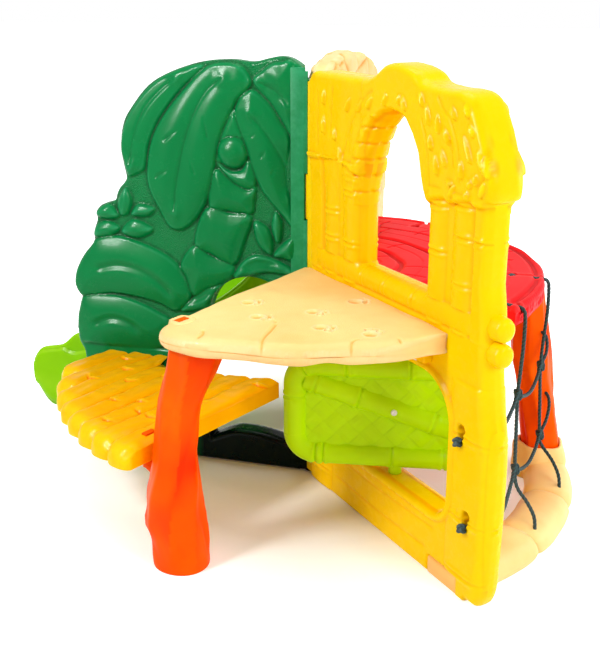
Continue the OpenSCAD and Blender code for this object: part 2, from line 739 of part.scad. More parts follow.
module stone_kerb() {
    color(tan_stone) difference() {
        union() {
            stone(stone_a[0], stone_a[3], kerb_h, groove_in);
            for (i = [0 : 2])
                stone(stone_a[i] + stone_gap, stone_a[i + 1] - stone_gap, kerb_h - 3 * (i % 2), 0);
            translate([right_foot[0], right_foot[1], 0])
                cylinder(r1 = socket_r + 20, r2 = socket_r + 12, h = socket_h);
            upright(arch_a) translate([tongue_u0, 0, -edge - 30])
                cube([tongue_u1 - tongue_u0, tongue_h, wall_t + fit + 30]);
        }
        difference() {
            upright(arch_a) translate([0, -1, -edge]) cube([2 * kerb_r, 2 * kerb_h, 2 * kerb_r]);
            upright(arch_a) translate([tongue_u0, -2, -edge - 1])
                cube([tongue_u1 - tongue_u0, tongue_h + 2, wall_t + fit + 1]);
        }
        translate([right_foot[0], right_foot[1], socket_floor]) cylinder(r = socket_r, h = socket_h);
        for (h = kerb_hole) translate([h[0], h[1], -1]) {
            cylinder(r = slot_r, h = 2 * kerb_h);
            cylinder(r = knot_r + 4, h = kerb_pocket + 1);
        }
    }
}

// Swivel gate and its pins

pin_set = 40;
pin_in = 44;
corner_r = 75;
boss_r = 17;
brace_r = 24;
brace_low = 0.32;
module gate_place() {
    translate(on_wall(arch_a, arch_mid, 0)) rotate([0, 0, arch_a + gate_turn]) children();
}

// Quarter bend of a rail, in the plane of the gate
module rail_bend(x, z, a) {
    translate([x, 0, z]) rotate([90, 0, 0]) rotate([0, 0, a])
        rotate_extrude(angle = 90) translate([corner_r - rail_r, 0]) circle(r = rail_r);
}

module swivel_gate() {
    x0 = -gate_long + corner_r;
    x1 = gate_short - corner_r;
    z0 = gate_z + corner_r;
    z1 = gate_top - corner_r;
    brace_from = [-gate_long + 62, gate_top - 71];
    brace_to = [gate_short - rail_r, gate_z + brace_low * (gate_top - gate_z)];
    color(lime) gate_place() difference() {
        union() {
            for (z = [gate_z + rail_r, gate_top - rail_r])
                translate([x0, 0, z]) rotate([0, 90, 0]) cylinder(r = rail_r, h = x1 - x0);
            for (x = [-gate_long + rail_r, gate_short - rail_r])
                translate([x, 0, z0]) cylinder(r = rail_r, h = z1 - z0);
            rail_bend(x0, z0, 180);
            rail_bend(x1, z0, 270);
            rail_bend(x1, z1, 0);
            rail_bend(x0, z1, 90);
            translate([0, panel_t / 2, 0]) rotate([90, 0, 0]) linear_extrude(panel_t)
                polygon(rounded_box(-gate_long + rail_r, gate_z + rail_r, gate_short - rail_r,
                    gate_top - rail_r, corner_r - rail_r, corner_r - rail_r));
            translate([brace_from[0], 0, brace_from[1]])
                rotate([0, 90 + atan2(brace_from[1] - brace_to[1], brace_to[0] - brace_from[0]), 0])
                cylinder(r = brace_r, h = norm(brace_to - brace_from));
            translate([0, 0, gateway_z + fit])
                cylinder(r = boss_r, h = gate_z + 2 * rail_r - gateway_z);
            translate([0, 0, gate_top - 2 * rail_r])
                cylinder(r = boss_r, h = gateway_h - fit - gate_top + 2 * rail_r);
        }
        translate([0, 0, gateway_z]) cylinder(r = pin_r + run_fit, h = pin_in + fit);
        translate([0, 0, gateway_h - pin_in - fit]) cylinder(r = pin_r + run_fit, h = pin_in + fit);
        gate_screw_hole();
    }
}

// Pins set in the arch wall that the gate turns on
module gate_pin_lower() {
    color(steel) gate_place() translate([0, 0, gateway_z - pin_set])
        cylinder(r = pin_r, h = pin_set + pin_in);
}
module gate_pin_upper() {
    color(steel) gate_place() translate([0, 0, gateway_h - pin_in])
        cylinder(r = pin_r, h = pin_in + pin_set);
}

// White screw through the brace
screw_spot = [-6, 351];
screw_depth = 24;
screw_head = 4;
module gate_screw_place() {
    translate([screw_spot[0], screw_head - brace_r, screw_spot[1]]) rotate([90, 0, 0]) children();
}
module gate_screw_hole() {
    gate_screw_place() {
        cylinder(r = head_r + 2 * fit, h = brace_r);
        translate([0, 0, -screw_depth]) cylinder(r = screw_r + fit / 2, h = screw_depth + 1);
    }
}
module gate_screw() {
    color("white") gate_place() gate_screw_place() {
        cylinder(r1 = head_r, r2 = head_r - 2, h = screw_head);
        translate([0, 0, fit - screw_depth]) cylinder(r = screw_r, h = screw_depth - fit);
    }
}

// Rope net

// Point at a distance from the pole, an angle and a height
function spot(r, a, z) = [r * cos(a), r * sin(a), z];
// Ends of a rope that hangs from the stump deck: out of its groove at angle a, and into the kerb's hole i
function deck_end(a) = [spot(groove_r0, a, deck_z - 12), spot(stump_r - 48, a, deck_z - 9),
    spot(stump_r - 12, a, deck_z - 9), spot(stump_r + 3, a, deck_z - 13), spot(stump_r + 9, a, deck_z - 32)];
function kerb_end(a, i) = [spot(kerb_r - 96, a[0], 150), spot(kerb_r - 64, a[1], 118),
    spot(kerb_r - 44, a[2], 88),
    [kerb_hole[i][0], kerb_hole[i][1], 60], [kerb_hole[i][0], kerb_hole[i][1], 16]];
// Ends of a rope that runs across: through the arch wall's keyhole i, and through the right trunk
function wall_end(i) = [for (w = [face + 13, 0, -face - 10])
    let (q = on_wall(arch_a, keyhole_u[i], w)) [q[0], q[1], keyhole_z[i]]];
function trunk_end(i, d) = [for (q = d) trunk_hole[i] + q];
// Points between two knots, each as a share of the way, a push outwards and a sag
function hang(p, q, steps) = [for (s = steps) p + s[0] * (q - p) + [s[1], 0, -s[2]]];
wall_sag = [[0.15, 10, 6], [0.34, 9, 16], [0.62, 3, 26], [0.87, 0, 17]];
net_sag = [[0.22, 0, 24], [0.52, 3, 36], [0.81, 2, 23]];

// Routes of the ropes, from end to end
rope_left = concat(deck_end(groove_a[0]),
    [spot(stump_r + 10, -21.9, 540), spot(stump_r + 6, -21.9, 460), spot(stump_r + 3, -21.9, 402),
        spot(stump_r + 5, -21.8, 300), spot(stump_r + 8, -21.7, 195)],
    kerb_end([-22.1, -22.4, -22.4], 0));
rope_right = concat(deck_end(groove_a[1]),
    [spot(stump_r + 10, 3.1, 540), spot(stump_r + 5, 3.1, 460), spot(stump_r + 2, 3.1, 381),
        spot(stump_r + 7, 3.0, 280), spot(stump_r + 13, 3.0, 174)],
    kerb_end([2.2, 0, -1.7], 1));
rope_upper = concat(wall_end(0), hang(wall_end(0)[2], rope_left[7], wall_sag), [rope_left[7]],
    hang(rope_left[7], rope_right[7], net_sag), [rope_right[7]],
    trunk_end(0, [[54, -90, -40], [53, -66, -12], [41, -41, 0], [0, 0, 0], [-47, 47, 0]]));
rope_lower = concat(wall_end(1), hang(wall_end(1)[2], rope_left[9], wall_sag), [rope_left[9]],
    hang(rope_left[9], rope_right[9], net_sag), [rope_right[9]],
    trunk_end(1, [[40, -96, -58], [45, -72, -20], [35, -42, -1], [0, 0, 0], [-46, 55, 0]]));
rope_sides = 8;

// Round section of a rope at point i of its line, held square to a side direction
function rope_ring(p, i, side) =
    let (t = unit(p[min(i + 1, len(p) - 1)] - p[max(i - 1, 0)]))
    let (u = unit(side - (side * t) * t))
    let (v = cross(t, u))
    [for (j = [0 : rope_sides - 1])
        p[i] + rope_d / 2 * (cos(360 * j / rope_sides) * u + sin(360 * j / rope_sides) * v)];
module rope(p, side) {
    line = curve(p, 3);
    color(rope_teal) loft([for (i = [0 : len(line) - 1]) rope_ring(line, i, side)]);
}
module net_rope_left() { rope(rope_left, [0.35, 0.93, 0]); }
module net_rope_right() { rope(rope_right, [0, 1, 0]); }
module net_rope_upper() { rope(rope_upper, [1, 0.4, 0]); }
module net_rope_lower() { rope(rope_lower, [1, 0.4, 0]); }

// Knot: two round turns and the lump between them
module knot(p) {
    translate(p) {
        sphere(r = knot_r * 0.8);
        for (z = [-1, 1]) translate([0, 0, z * knot_r * 0.45])
            rotate_extrude() translate([knot_r * 0.6, 0]) circle(r = knot_r * 0.4);
    }
}
module net_knots() {
    color(rope_teal) for (p = [rope_left[7], rope_left[9], rope_right[7], rope_right[9]]) knot(p);
}
module wall_rope_knots() {
    color(rope_teal) for (p = [rope_upper[0], rope_lower[0]]) knot(p);
}
module deck_rope_knots() {
    color(rope_teal) for (p = [rope_left[0], rope_right[0]]) knot(p);
}
module kerb_rope_knots() {
    color(rope_teal) for (p = [rope_left, rope_right]) knot(p[len(p) - 1]);
}
module trunk_rope_knots() {
    color(rope_teal) for (p = [rope_upper, rope_lower]) knot(p[len(p) - 1]);
}

// Screws

cleat_mid = face + cleat_w / 2;
stump_screw_at = [on_wall(arch_a, 230, -cleat_mid), on_wall(arch_a, 350, -cleat_mid),
    on_wall(rock_a, 150, cleat_mid), on_wall(rock_a, 330, cleat_mid), on_wall(rock_a, 510, cleat_mid)];
ledge_screw_at = [on_wall(arch_a, 220, cleat_mid), on_wall(arch_a, 400, cleat_mid),
    on_wall(arch_a, 560, cleat_mid)];
raft_screw_at = [on_wall(palm_a, 500, -cleat_mid), on_wall(palm_a, 620, -cleat_mid)];
slide_screw_at = [on_wall(rock_a, slide_y - 110, 0), on_wall(rock_a, slide_y + 110, 0)];
screw_in = 28;

// Screw from below at height z, and the hole that takes it
module screw_up(p, z) {
    translate([p[0], p[1], z - screw_head]) cylinder(r = head_r, h = screw_head);
    translate([p[0], p[1], z - 1]) cylinder(r = screw_r, h = cleat_h + screw_in + 1);
}
module screw_up_hole(p, z) {
    translate([p[0], p[1], z - 1]) cylinder(r = screw_r + fit / 2, h = cleat_h + screw_in + 2);
}
module stump_screw_holes() { for (p = stump_screw_at) screw_up_hole(p, deck_b - cleat_h); }
module ledge_screw_holes() { for (p = ledge_screw_at) screw_up_hole(p, deck_b - cleat_h); }
module raft_screw_holes() { for (p = raft_screw_at) screw_up_hole(p, raft_b - cleat_h); }
module stump_deck_screws() { color(steel) for (p = stump_screw_at) screw_up(p, deck_b - cleat_h); }
module ledge_deck_screws() { color(steel) for (p = ledge_screw_at) screw_up(p, deck_b - cleat_h); }
module raft_screws() { color(steel) for (p = raft_screw_at) screw_up(p, raft_b - cleat_h); }

// Screws down through the slide's lip into the doorway sill
module slide_screw_holes() {
    for (p = slide_screw_at) {
        translate([p[0], p[1], door_z - screw_in]) cylinder(r = screw_r + fit / 2, h = screw_in + bed_t + 1);
        translate([p[0], p[1], deck_z - screw_head]) cylinder(r = head_r + fit, h = screw_head + 1);
    }
}
module slide_screws() {
    color(steel) for (p = slide_screw_at) {
        translate([p[0], p[1], door_z - screw_in + 1])
            cylinder(r = screw_r, h = screw_in + bed_t - screw_head);
        translate([p[0], p[1], deck_z - screw_head]) cylinder(r = head_r, h = screw_head);
    }
}

palm_wall();
arch_wall();
rock_wall();
hub_pole();
stump_deck();
ledge_deck();
raft_step();
front_trunk();
right_trunk();
slide();
stone_kerb();
swivel_gate();
gate_pin_lower();
gate_pin_upper();
gate_screw();
net_rope_left();
net_rope_right();
net_rope_upper();
net_rope_lower();
net_knots();
wall_rope_knots();
deck_rope_knots();
kerb_rope_knots();
trunk_rope_knots();
stump_deck_screws();
ledge_deck_screws();
raft_screws();
slide_screws();
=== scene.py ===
# %% [markdown]
# A toddler climbing gym: three moulded plastic walls that meet at one pole, two decks, a step of logs,
# a slide, a rope net and a gate that swings. It could be modelled anew from its picture, but then nothing
# would fit the parts that exist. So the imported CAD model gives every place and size, and this script gives
# the walls their carving, the ropes their twist and the plastic its skin. Lengths are in millimetres.

# %% Frame
import math

import bpy
import numpy as np
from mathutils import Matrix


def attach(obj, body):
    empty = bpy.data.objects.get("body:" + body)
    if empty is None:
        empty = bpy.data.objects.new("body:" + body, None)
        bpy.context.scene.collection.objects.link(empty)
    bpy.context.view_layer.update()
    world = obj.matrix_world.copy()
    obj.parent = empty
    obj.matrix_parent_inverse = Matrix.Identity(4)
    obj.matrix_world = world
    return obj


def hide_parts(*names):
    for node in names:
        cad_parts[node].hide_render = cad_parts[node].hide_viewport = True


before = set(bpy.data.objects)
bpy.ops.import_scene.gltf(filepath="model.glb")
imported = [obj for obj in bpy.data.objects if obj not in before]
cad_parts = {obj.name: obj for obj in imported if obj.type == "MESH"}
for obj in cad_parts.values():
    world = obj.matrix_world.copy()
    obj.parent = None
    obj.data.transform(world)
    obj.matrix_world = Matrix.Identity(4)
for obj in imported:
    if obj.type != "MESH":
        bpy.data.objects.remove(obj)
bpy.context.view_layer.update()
scene = bpy.context.scene

# %% [markdown]
# The gym is seen from the front and a little from above. A camera could be moved by eye until the view
# looks right, but then no edge would lie where it lies in the photo. Its place, turn and lens were worked
# out from the wall feet and the deck rims instead, so the two pictures can be compared point by point.

# %% Camera
camera = bpy.data.objects.new("camera", bpy.data.cameras.new("camera"))
scene.collection.objects.link(camera)
camera.location = (0.6993, -2.6314, 1.3993)
camera.rotation_euler = (math.radians(73.5), 0, math.radians(15.8))
camera.data.sensor_width = 36
camera.data.lens = 54.79
camera.data.shift_y = -0.0769
scene.camera = camera
scene.view_settings.view_transform = "Standard"
print("camera at", [round(x, 3) for x in camera.location], "lens", round(camera.data.lens, 2))

# %% [markdown]
# Leaves, rims and ropes are all smooth curves. Blender's Bezier curves could draw them, with two handles to
# tune at every point. A curve that simply runs through its points is easier to read off a photo and to
# change later, so spline() makes that one, open or closed.

# %% Curves
MM = 0.001


def spline(points, n, loop=False):
    """Smooth curve through points, n steps between each two."""
    p = np.asarray(points, float)
    last = len(p) - 1
    out = []
    for i in range(len(p) if loop else last):
        if loop:
            a, b, c, d = p[i - 1], p[i], p[(i + 1) % len(p)], p[(i + 2) % len(p)]
        else:
            a, b, c, d = p[max(i - 1, 0)], p[i], p[i + 1], p[min(i + 2, last)]
        for t in np.arange(n) / n:
            out.append(0.5 * (2 * b + (c - a) * t + (2 * a - 5 * b + 4 * c - d) * t**2
                              + (3 * b - a - 3 * c + d) * t**3))
    if not loop:
        out.append(p[-1])
    return np.array(out)


print("curve through three points:", len(spline([(0, 0), (1, 2), (3, 1)], 6)), "points")

# %% [markdown]
# Stone and bark are lumpy, and a carved line is deepest along its middle. Displacement textures could give
# both, but the points of a mesh can't be asked about a texture. So noise() is plain arithmetic over points,
# within() says which of them lie inside an outline, and reach() how far they are from a line.

# %% Noise and distance
def noise(q, size, seed=0):
    """Smooth random heights from -1 to 1 over 2-D points, with lumps of that size."""
    p = np.asarray(q, float) / size + 100.5 + seed * 17.3
    cell = np.floor(p).astype(np.int64)
    f = p - cell
    f = f * f * (3 - 2 * f)

    def chance(dx, dy):
        h = (cell[..., 0] + dx) * 374761393 + (cell[..., 1] + dy) * 668265263 + seed * 974634777
        h = ((h & 0xFFFFFFFF) ^ ((h & 0xFFFFFFFF) >> 13)) * 1274126177 & 0xFFFFFFFF
        return ((h ^ (h >> 16)) & 0xFFFF) / 32767.5 - 1

    low = chance(0, 0) * (1 - f[..., 0]) + chance(1, 0) * f[..., 0]
    high = chance(0, 1) * (1 - f[..., 0]) + chance(1, 1) * f[..., 0]
    return low * (1 - f[..., 1]) + high * f[..., 1]


def smooth(t):
    """Soft step from 0 to 1."""
    t = np.clip(t, 0, 1)
    return t * t * (3 - 2 * t)


def within(poly, q):
    """Which points lie inside a closed outline."""
    hit = np.zeros(len(q), bool)
    x, y = q[:, 0], q[:, 1]
    for (x0, y0), (x1, y1) in zip(poly, np.roll(poly, -1, 0)):
        if y0 != y1:
            hit ^= ((y0 > y) != (y1 > y)) & (x < (x1 - x0) * (y - y0) / (y1 - y0) + x0)
    return hit


def reach(line, q, loop=True):
    """Distance of points to a line, and the nearest point on it."""
    best = np.full(len(q), 1e9)
    at = np.zeros_like(q)
    ends = np.roll(line, -1, 0) if loop else line[1:]
    for a, b in zip(line, ends):
        d = b - a
        t = np.clip((q - a) @ d / max(d @ d, 1e-9), 0, 1)
        p = a + t[:, None] * d
        r = np.hypot(q[:, 0] - p[:, 0], q[:, 1] - p[:, 1])
        closer = r < best
        best[closer] = r[closer]
        at[closer] = p[closer]
    return best, at


print("noise at two spots:", noise([(0, 0), (9, 4)], 5).round(2).tolist())

# %% [markdown]
# Doorways, bars and panels have straight sides and round corners. A bevel modifier could round them once
# they are cut, but the carving needs the outline first. arc() and rounded() write it down as points.

# %% Plain outlines
def arc(cx, cy, r, a0, a1, n):
    a = np.radians(np.linspace(a0, a1, n + 1))
    return np.stack([cx + r * np.cos(a), cy + r * np.sin(a)], 1)


def rounded(x0, y0, x1, y1, low, high, n=10):
    """Rectangle with one radius at its two lower corners and one at its upper corners."""
    return np.concatenate([
        arc(x0 + low, y0 + low, low, 180, 270, n),
        arc(x1 - low, y0 + low, low, 270, 360, n),
        arc(x1 - high, y1 - high, high, 0, 90, n),
        arc(x0 + high, y1 - high, high, 90, 180, n)])


rounded_square = rounded(0, 0, 90, 90, 9, 9)
print("rounded square:", len(rounded_square), "points")

# %% [markdown]
# One moulded wall is one piece, with its knuckles and cleats. Objects could be joined by a boolean modifier,
# but booleans are slow on carved faces and leave thin triangles. A Piece gathers points and faces instead
# and ends as one object, which rides on its body and takes the place of its CAD node. Each point has two
# marks for the shader: its stipple, and how far it stands above or below the ground about it. From that
# second mark the shader paints shade into the hollows and sheen onto the ridges, and some pieces write
# painted light and shade into it directly.

# %% Pieces
SHARP = 75


class Piece:
    """Points and faces of one moulded piece, in millimetres in the row frame."""

    def __init__(self):
        self.verts, self.faces, self.marks, self.count = [], [], [], 0

    def add(self, verts, faces, marks=None):
        """marks gives each point its stipple and its carve, which is its height over its surroundings, and on
        some pieces painted light and shade.
        """
        verts = np.asarray(verts, float)
        self.verts.append(verts)
        self.faces += [[i + self.count for i in f] for f in faces]
        self.marks.append(np.zeros((len(verts), 2)) if marks is None else marks)
        self.count += len(verts)

    def net(self, rings, caps=True, carve=None):
        """Skin over rings of points, with its two ends closed."""
        rings = np.asarray(rings, float)
        m, n = rings.shape[:2]
        index = np.arange(m * n).reshape(m, n)
        after = np.roll(index, -1, 1)
        faces = np.stack([index[:-1], after[:-1], after[1:], index[1:]], -1).reshape(-1, 4).tolist()
        if caps:
            faces += [index[0, ::-1].tolist(), index[-1].tolist()]
        marks = None
        if carve is not None:
            marks = np.column_stack([np.zeros(m * n), np.asarray(carve, float).reshape(-1)])
        self.add(rings.reshape(-1, 3), faces, marks)

    def object(self, name, material, body, nodes=()):
        mesh = bpy.data.meshes.new(name)
        mesh.from_pydata((np.concatenate(self.verts) * MM).tolist(), [], self.faces)
        marks = np.concatenate(self.marks).astype(np.float32)
        for k, title in enumerate(("stipple", "carve")):
            mark = mesh.attributes.new(title, "FLOAT", "POINT")
            mark.data.foreach_set("value", np.ascontiguousarray(marks[:, k]))
        mesh.validate()
        mesh.shade_smooth()
        mesh.set_sharp_from_angle(angle=math.radians(SHARP))
        mesh.materials.append(material)
        obj = bpy.data.objects.new(name, mesh)
        scene.collection.objects.link(obj)
        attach(obj, body)
        if nodes:
            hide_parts(*nodes)
        print(name, len(mesh.vertices), "points")
        return obj


print("a piece is drawn in steps of", MM, "m and is sharp from", SHARP, "degrees")

# %% [markdown]
# A carved wall needs an even net of points inside its outline. Filling the outline would give long thin
# triangles that can't carry relief, and a remesh would eat its corners. Here a square net is laid over it,
# what falls outside or into a hole is dropped, and the points beside the rim are pulled onto it.

# %% Net inside an outline
# how near a point is pulled to the rim, and which faces are too thin to keep, in steps of the net
SNAP, SLIVER = 0.55, 0.06


def sheet_net(outline, holes, step):
    """Square net inside an outline, with its rim pulled onto the outline."""
    low = outline.min(0) - step
    count = np.ceil((outline.max(0) + step - low) / step).astype(int) + 1
    lines = [low[k] + step * np.arange(count[k]) for k in (0, 1)]
    gx, gy = np.meshgrid(*lines, indexing="ij")
    q = np.stack([gx.ravel(), gy.ravel()], 1)
    inner = within(outline, q)
    for hole in holes:
        inner &= ~within(hole, q)
    rim, at = np.full(len(q), 1e9), np.zeros_like(q)
    for line in [outline] + holes:
        d, p = reach(line, q)
        closer = d < rim
        rim[closer], at[closer] = d[closer], p[closer]
    snap = rim < SNAP * step
    q[snap] = at[snap]
    rim[snap] = 0
    good = inner | snap
    index = np.arange(len(q)).reshape(count)
    quads = np.stack([index[:-1, :-1], index[1:, :-1], index[1:, 1:], index[:-1, 1:]], -1).reshape(-1, 4)
    plain = (inner & ~snap)[quads].all(1)
    faces = quads[plain].tolist()
    rest = quads[~plain & (good[quads].sum(1) > 2)]
    for cell, ok in zip(rest.tolist(), good[rest].tolist()):
        keep = [i for i, g in zip(cell, ok) if g]
        x, y = q[keep, 0], q[keep, 1]
        if np.dot(x, np.roll(y, -1)) - np.dot(y, np.roll(x, -1)) > SLIVER * step * step:
            if inner[cell].any() or within(outline, q[keep].mean(0)[None])[0]:
                faces.append(keep)
    used = np.unique([i for f in faces for i in f])
    new = np.full(len(q), -1)
    new[used] = np.arange(len(used))
    return q[used], rim[used], [[int(new[i]) for i in f] for f in faces]


print("net over that square:", len(sheet_net(rounded_square, [], 6.0)[0]), "points")

# %% [markdown]
# A net has a rim, and each of its points stands on some ground. Both could be picked by hand in edit mode,
# but the carving needs them as numbers. An edge that only one face has lies on the rim, outward() tells which
# way is out there, and the mean height of the neighbours, taken again and again, is the ground.

# %% Rim and ground of a net
# rounds of averaging that give the ground about a point
ABOUT = 14


def near_mean(height, faces, rounds):
    """Mean height of the ground about each point."""
    pairs = np.array([pair for f in faces for pair in zip(f, f[1:] + f[:1])])
    a, b = pairs[:, 0], pairs[:, 1]
    n = len(height)
    count = np.maximum(np.bincount(a, minlength=n) + np.bincount(b, minlength=n), 1)
    mean = height.astype(float)
    for _ in range(rounds):
        mean = (np.bincount(a, mean[b], n) + np.bincount(b, mean[a], n)) / count
    return mean


def open_edges(faces):
    """Edges that only one face has: the rim of a net."""
    seen = {}
    for f in faces:
        for a, b in zip(f, f[1:] + f[:1]):
            if (b, a) in seen:
                del seen[(b, a)]
            else:
                seen[(a, b)] = True
    return list(seen)


def outward(q, edges, spot):
    """Direction out of the net at each point of its rim."""
    out = np.zeros((len(spot), 2))
    for a, b in edges:
        d = q[b] - q[a]
        normal = np.array([d[1], -d[0]]) / max(np.hypot(*d), 1e-6)
        out[spot[a]] += normal
        out[spot[b]] += normal
    return out / np.maximum(np.hypot(out[:, 0], out[:, 1]), 1e-6)[:, None]


print("ground about a step:", near_mean(np.array([0, 0, 4, 4]), [[0, 1, 2, 3]], 1).tolist())

# %% [markdown]
# Walls and decks are blown hollow in a mould, so both faces are carved and the edges are round. A solidify
# modifier would only copy one face to the other. moulded() gives each face its own heights, bends both to a
# round edge at the rim and closes the slab with rows of side faces, which may be pushed out as bark.

# %% Carved slab
def moulded(piece, outline, holes, half, edge, top, bottom, place, step, rows=3, side=None, settle=0):
    """Slab with rounded edges and relief on both faces; place(x, y, w) puts it in the row frame."""
    q, rim, faces = sheet_net(np.asarray(outline, float), [np.asarray(h, float) for h in holes], step)
    n = len(q)
    edge = edge(q) if callable(edge) else np.full(n, float(edge))
    curve = half - edge + np.sqrt(np.maximum(edge**2 - (edge - np.minimum(rim, edge))**2, 0))
    up, stipple = top(q, rim)
    down, stipple_low = bottom(q, rim)
    for _ in range(settle):
        up, down = 0.5 * (up + near_mean(up, faces, 1)), 0.5 * (down + near_mean(down, faces, 1))
    high, low = curve * (1 + up / half), -curve * (1 + down / half)
    piece_faces = faces + [[i + n for i in reversed(f)] for f in faces]
    edges = open_edges(faces)
    border = sorted({i for pair in edges for i in pair})
    spot = {v: k for k, v in enumerate(border)}
    out = outward(q, edges, spot)
    verts = [np.column_stack([q, high]), np.column_stack([q, low])]
    for k in range(1, rows):
        t = k / rows
        w = high[border] * (1 - t) + low[border] * t
        flat = q[border].copy()
        if side is not None:
            flat += out * side(q[border], w)[:, None] * smooth(4 * min(t, 1 - t))
        verts.append(np.column_stack([flat, w]))

    def level(v, k):
        if k == 0:
            return v
        return v + n if k == rows else 2 * n + (k - 1) * len(border) + spot[v]

    for a, b in edges:
        for k in range(rows):
            piece_faces.append([level(b, k), level(a, k), level(a, k + 1), level(b, k + 1)])
    flat = np.concatenate(verts)
    marks = np.zeros((len(flat), 2))
    marks[:n] = np.column_stack([stipple, up - near_mean(up, faces, ABOUT)])
    marks[n:2 * n] = np.column_stack([stipple_low, down - near_mean(down, faces, ABOUT)])
    piece.add(np.column_stack(place(flat[:, 0], flat[:, 1], flat[:, 2])), piece_faces, marks)


def level_at(height):
    """Place of a deck drawing: x and y as they are, w up from that height."""
    return lambda x, y, w: (x, y, height + w)


def plain_face(q, rim):
    """No relief and no stipple."""
    return np.zeros(len(q)), np.zeros(len(q))


slab = Piece()
moulded(slab, rounded_square, [], 9, 4, plain_face, plain_face, level_at(0), 6.0)
print("slab over that square:", slab.count, "points")

# %% [markdown]
# Knuckles and pins are turned, cleats are bars, and ropes follow a line. Curve objects with a bevel could
# make them, but every ring would then have one shape. lathe(), prism() and sweep() lay rings of points and
# skin them, so that any ring may swell. upright() stands such a drawing up as a wall.

# %% Turned and swept forms
def upright(angle):
    """Place of a wall drawing: x along the wall, y up, w out of the wall."""
    c, s = math.cos(math.radians(angle)), math.sin(math.radians(angle))
    return lambda u, z, w: (u * c + w * s, u * s - w * c, z)


def lathe(piece, profile, place, n=48):
    """Profile of radius and height turned once round; place(x, y, z) moves it."""
    a = np.linspace(0, 2 * np.pi, n, endpoint=False)
    rings = []
    for r, z in profile:
        ring = np.stack(np.broadcast_arrays(*place(r * np.cos(a), r * np.sin(a), np.full(n, float(z)))), -1)
        rings.append(ring)
    piece.net(rings)


def prism(piece, x0, y0, z0, x1, y1, z1, place, soft=3.0):
    """Bar with softened edges; place(x, y, z) moves it."""
    section = rounded(y0, z0, y1, z1, soft, soft, 4)
    grow = [(0, 0.7), (0.3, 0.3), (1, 0)]
    ends = [(x0 + soft * a, b) for a, b in grow] + [(x1 - soft * a, b) for a, b in reversed(grow)]
    middle = section.mean(0)
    rings = []
    for x, b in ends:
        s = middle + (section - middle) * (1 - b * soft / np.maximum(np.abs(section - middle).max(0), 1))
        rings.append(np.stack(place(np.full(len(s), x), s[:, 0], s[:, 1]), -1))
    piece.net(rings)


def sweep(line, radius, sides=16, shape=None):
    """Rings round a 3-D line; shape(angle, along) scales the radius."""
    line = np.asarray(line, float)
    step = np.linalg.norm(np.diff(line, axis=0), axis=1)
    along = np.concatenate([[0], np.cumsum(step)])
    way = np.gradient(line, axis=0)
    way /= np.linalg.norm(way, axis=1)[:, None]
    u = np.cross(way[0], [0.3, 0.2, 1.0] if abs(way[0][2]) < 0.9 else [1.0, 0.2, 0.1])
    a = np.linspace(0, 2 * np.pi, sides, endpoint=False)
    rings = []
    for k, p in enumerate(line):
        u = u - way[k] * (u @ way[k])
        u /= np.linalg.norm(u)
        v = np.cross(way[k], u)
        r = radius[k] if np.ndim(radius) else radius
        r = r * (shape(a, along[k]) if shape else np.ones(sides))
        rings.append(p + np.outer(r * np.cos(a), u) + np.outer(r * np.sin(a), v))
    return np.array(rings), along


print("swept bar:", sweep([(0, 0, 0), (0, 0, 9)], 2.0)[0].shape[:2], "rings and sides")

# %% [markdown]
# Every finish below is a graph of shader nodes. It could be drawn with the mouse in the shader editor, but
# then it couldn't be read here or made again. node() adds a node with its settings, a setting being either
# a property or a socket's value, and link() joins two sockets. The others start a finish and give the
# place of each point on a piece, or one of the two marks that the mesh has there.

# %% Node helpers
def link(tree, a, b):
    tree.links.new(a, b)


def node(tree, kind, **values):
    made = tree.nodes.new(kind)
    for key, value in values.items():
        if hasattr(made, key):
            setattr(made, key, value)
        else:
            made.inputs[key.replace("_", " ")].default_value = value
    return made


def place_of(tree):
    return node(tree, "ShaderNodeTexCoord").outputs["Object"]


def mark_of(tree, name):
    """A mark that the mesh has at each point."""
    return node(tree, "ShaderNodeAttribute", attribute_name=name).outputs["Fac"]


def new_finish(name):
    """New material, with its tree and its shader."""
    material = bpy.data.materials.new(name)
    material.use_nodes = True
    return material, material.node_tree, material.node_tree.nodes["Principled BSDF"]


print("node helpers:", [helper.__name__ for helper in (link, node, place_of, mark_of, new_finish)])

# %% [markdown]
# A finish takes the same few steps again and again: speckle a surface, draw a pattern out, turn one value
# into another, mix two colours, raise bumps. Each could be written out where it is needed, but then the same
# lines would come back thirty times. So each step is a function that takes sockets and gives one back.

# %% Shader steps
def speckle(tree, place, scale, detail, rough=0.5):
    """Noise from 0 to 1 over a place."""
    made = node(tree, "ShaderNodeTexNoise", Scale=scale, Detail=detail, Roughness=rough)
    link(tree, place, made.inputs["Vector"])
    return made.outputs["Fac"]


def stretch(tree, place, scale, turn=(0.0, 0.0, 0.0)):
    """The place drawn out more along one axis than along the others."""
    made = node(tree, "ShaderNodeMapping")
    made.inputs["Scale"].default_value = scale
    made.inputs["Rotation"].default_value = turn
    link(tree, place, made.inputs["Vector"])
    return made.outputs["Vector"]


def ramp(tree, source, low, high, start=0.0, end=1.0):
    """Value that goes from start to end while the source goes from low to high."""
    made = node(tree, "ShaderNodeMapRange", From_Min=low, From_Max=high, To_Min=start, To_Max=end)
    link(tree, source, made.inputs["Value"])
    return made.outputs["Result"]


def join(tree, operation, *values):
    """Arithmetic on sockets and plain numbers."""
    made = node(tree, "ShaderNodeMath", operation=operation)
    for k, value in enumerate(values):
        if isinstance(value, float):
            made.inputs[k].default_value = value
        else:
            link(tree, value, made.inputs[k])
    return made.outputs["Value"]


def blend(tree, a, b, factor):
    """Colour between a and b, each a socket or a plain colour."""
    mix = node(tree, "ShaderNodeMix", data_type="RGBA")
    link(tree, factor, mix.inputs["Factor"])
    for key, value in (("A", a), ("B", b)):
        if isinstance(value, tuple):
            mix.inputs[key].default_value = value
        else:
            link(tree, value, mix.inputs[key])
    return mix.outputs["Result"]


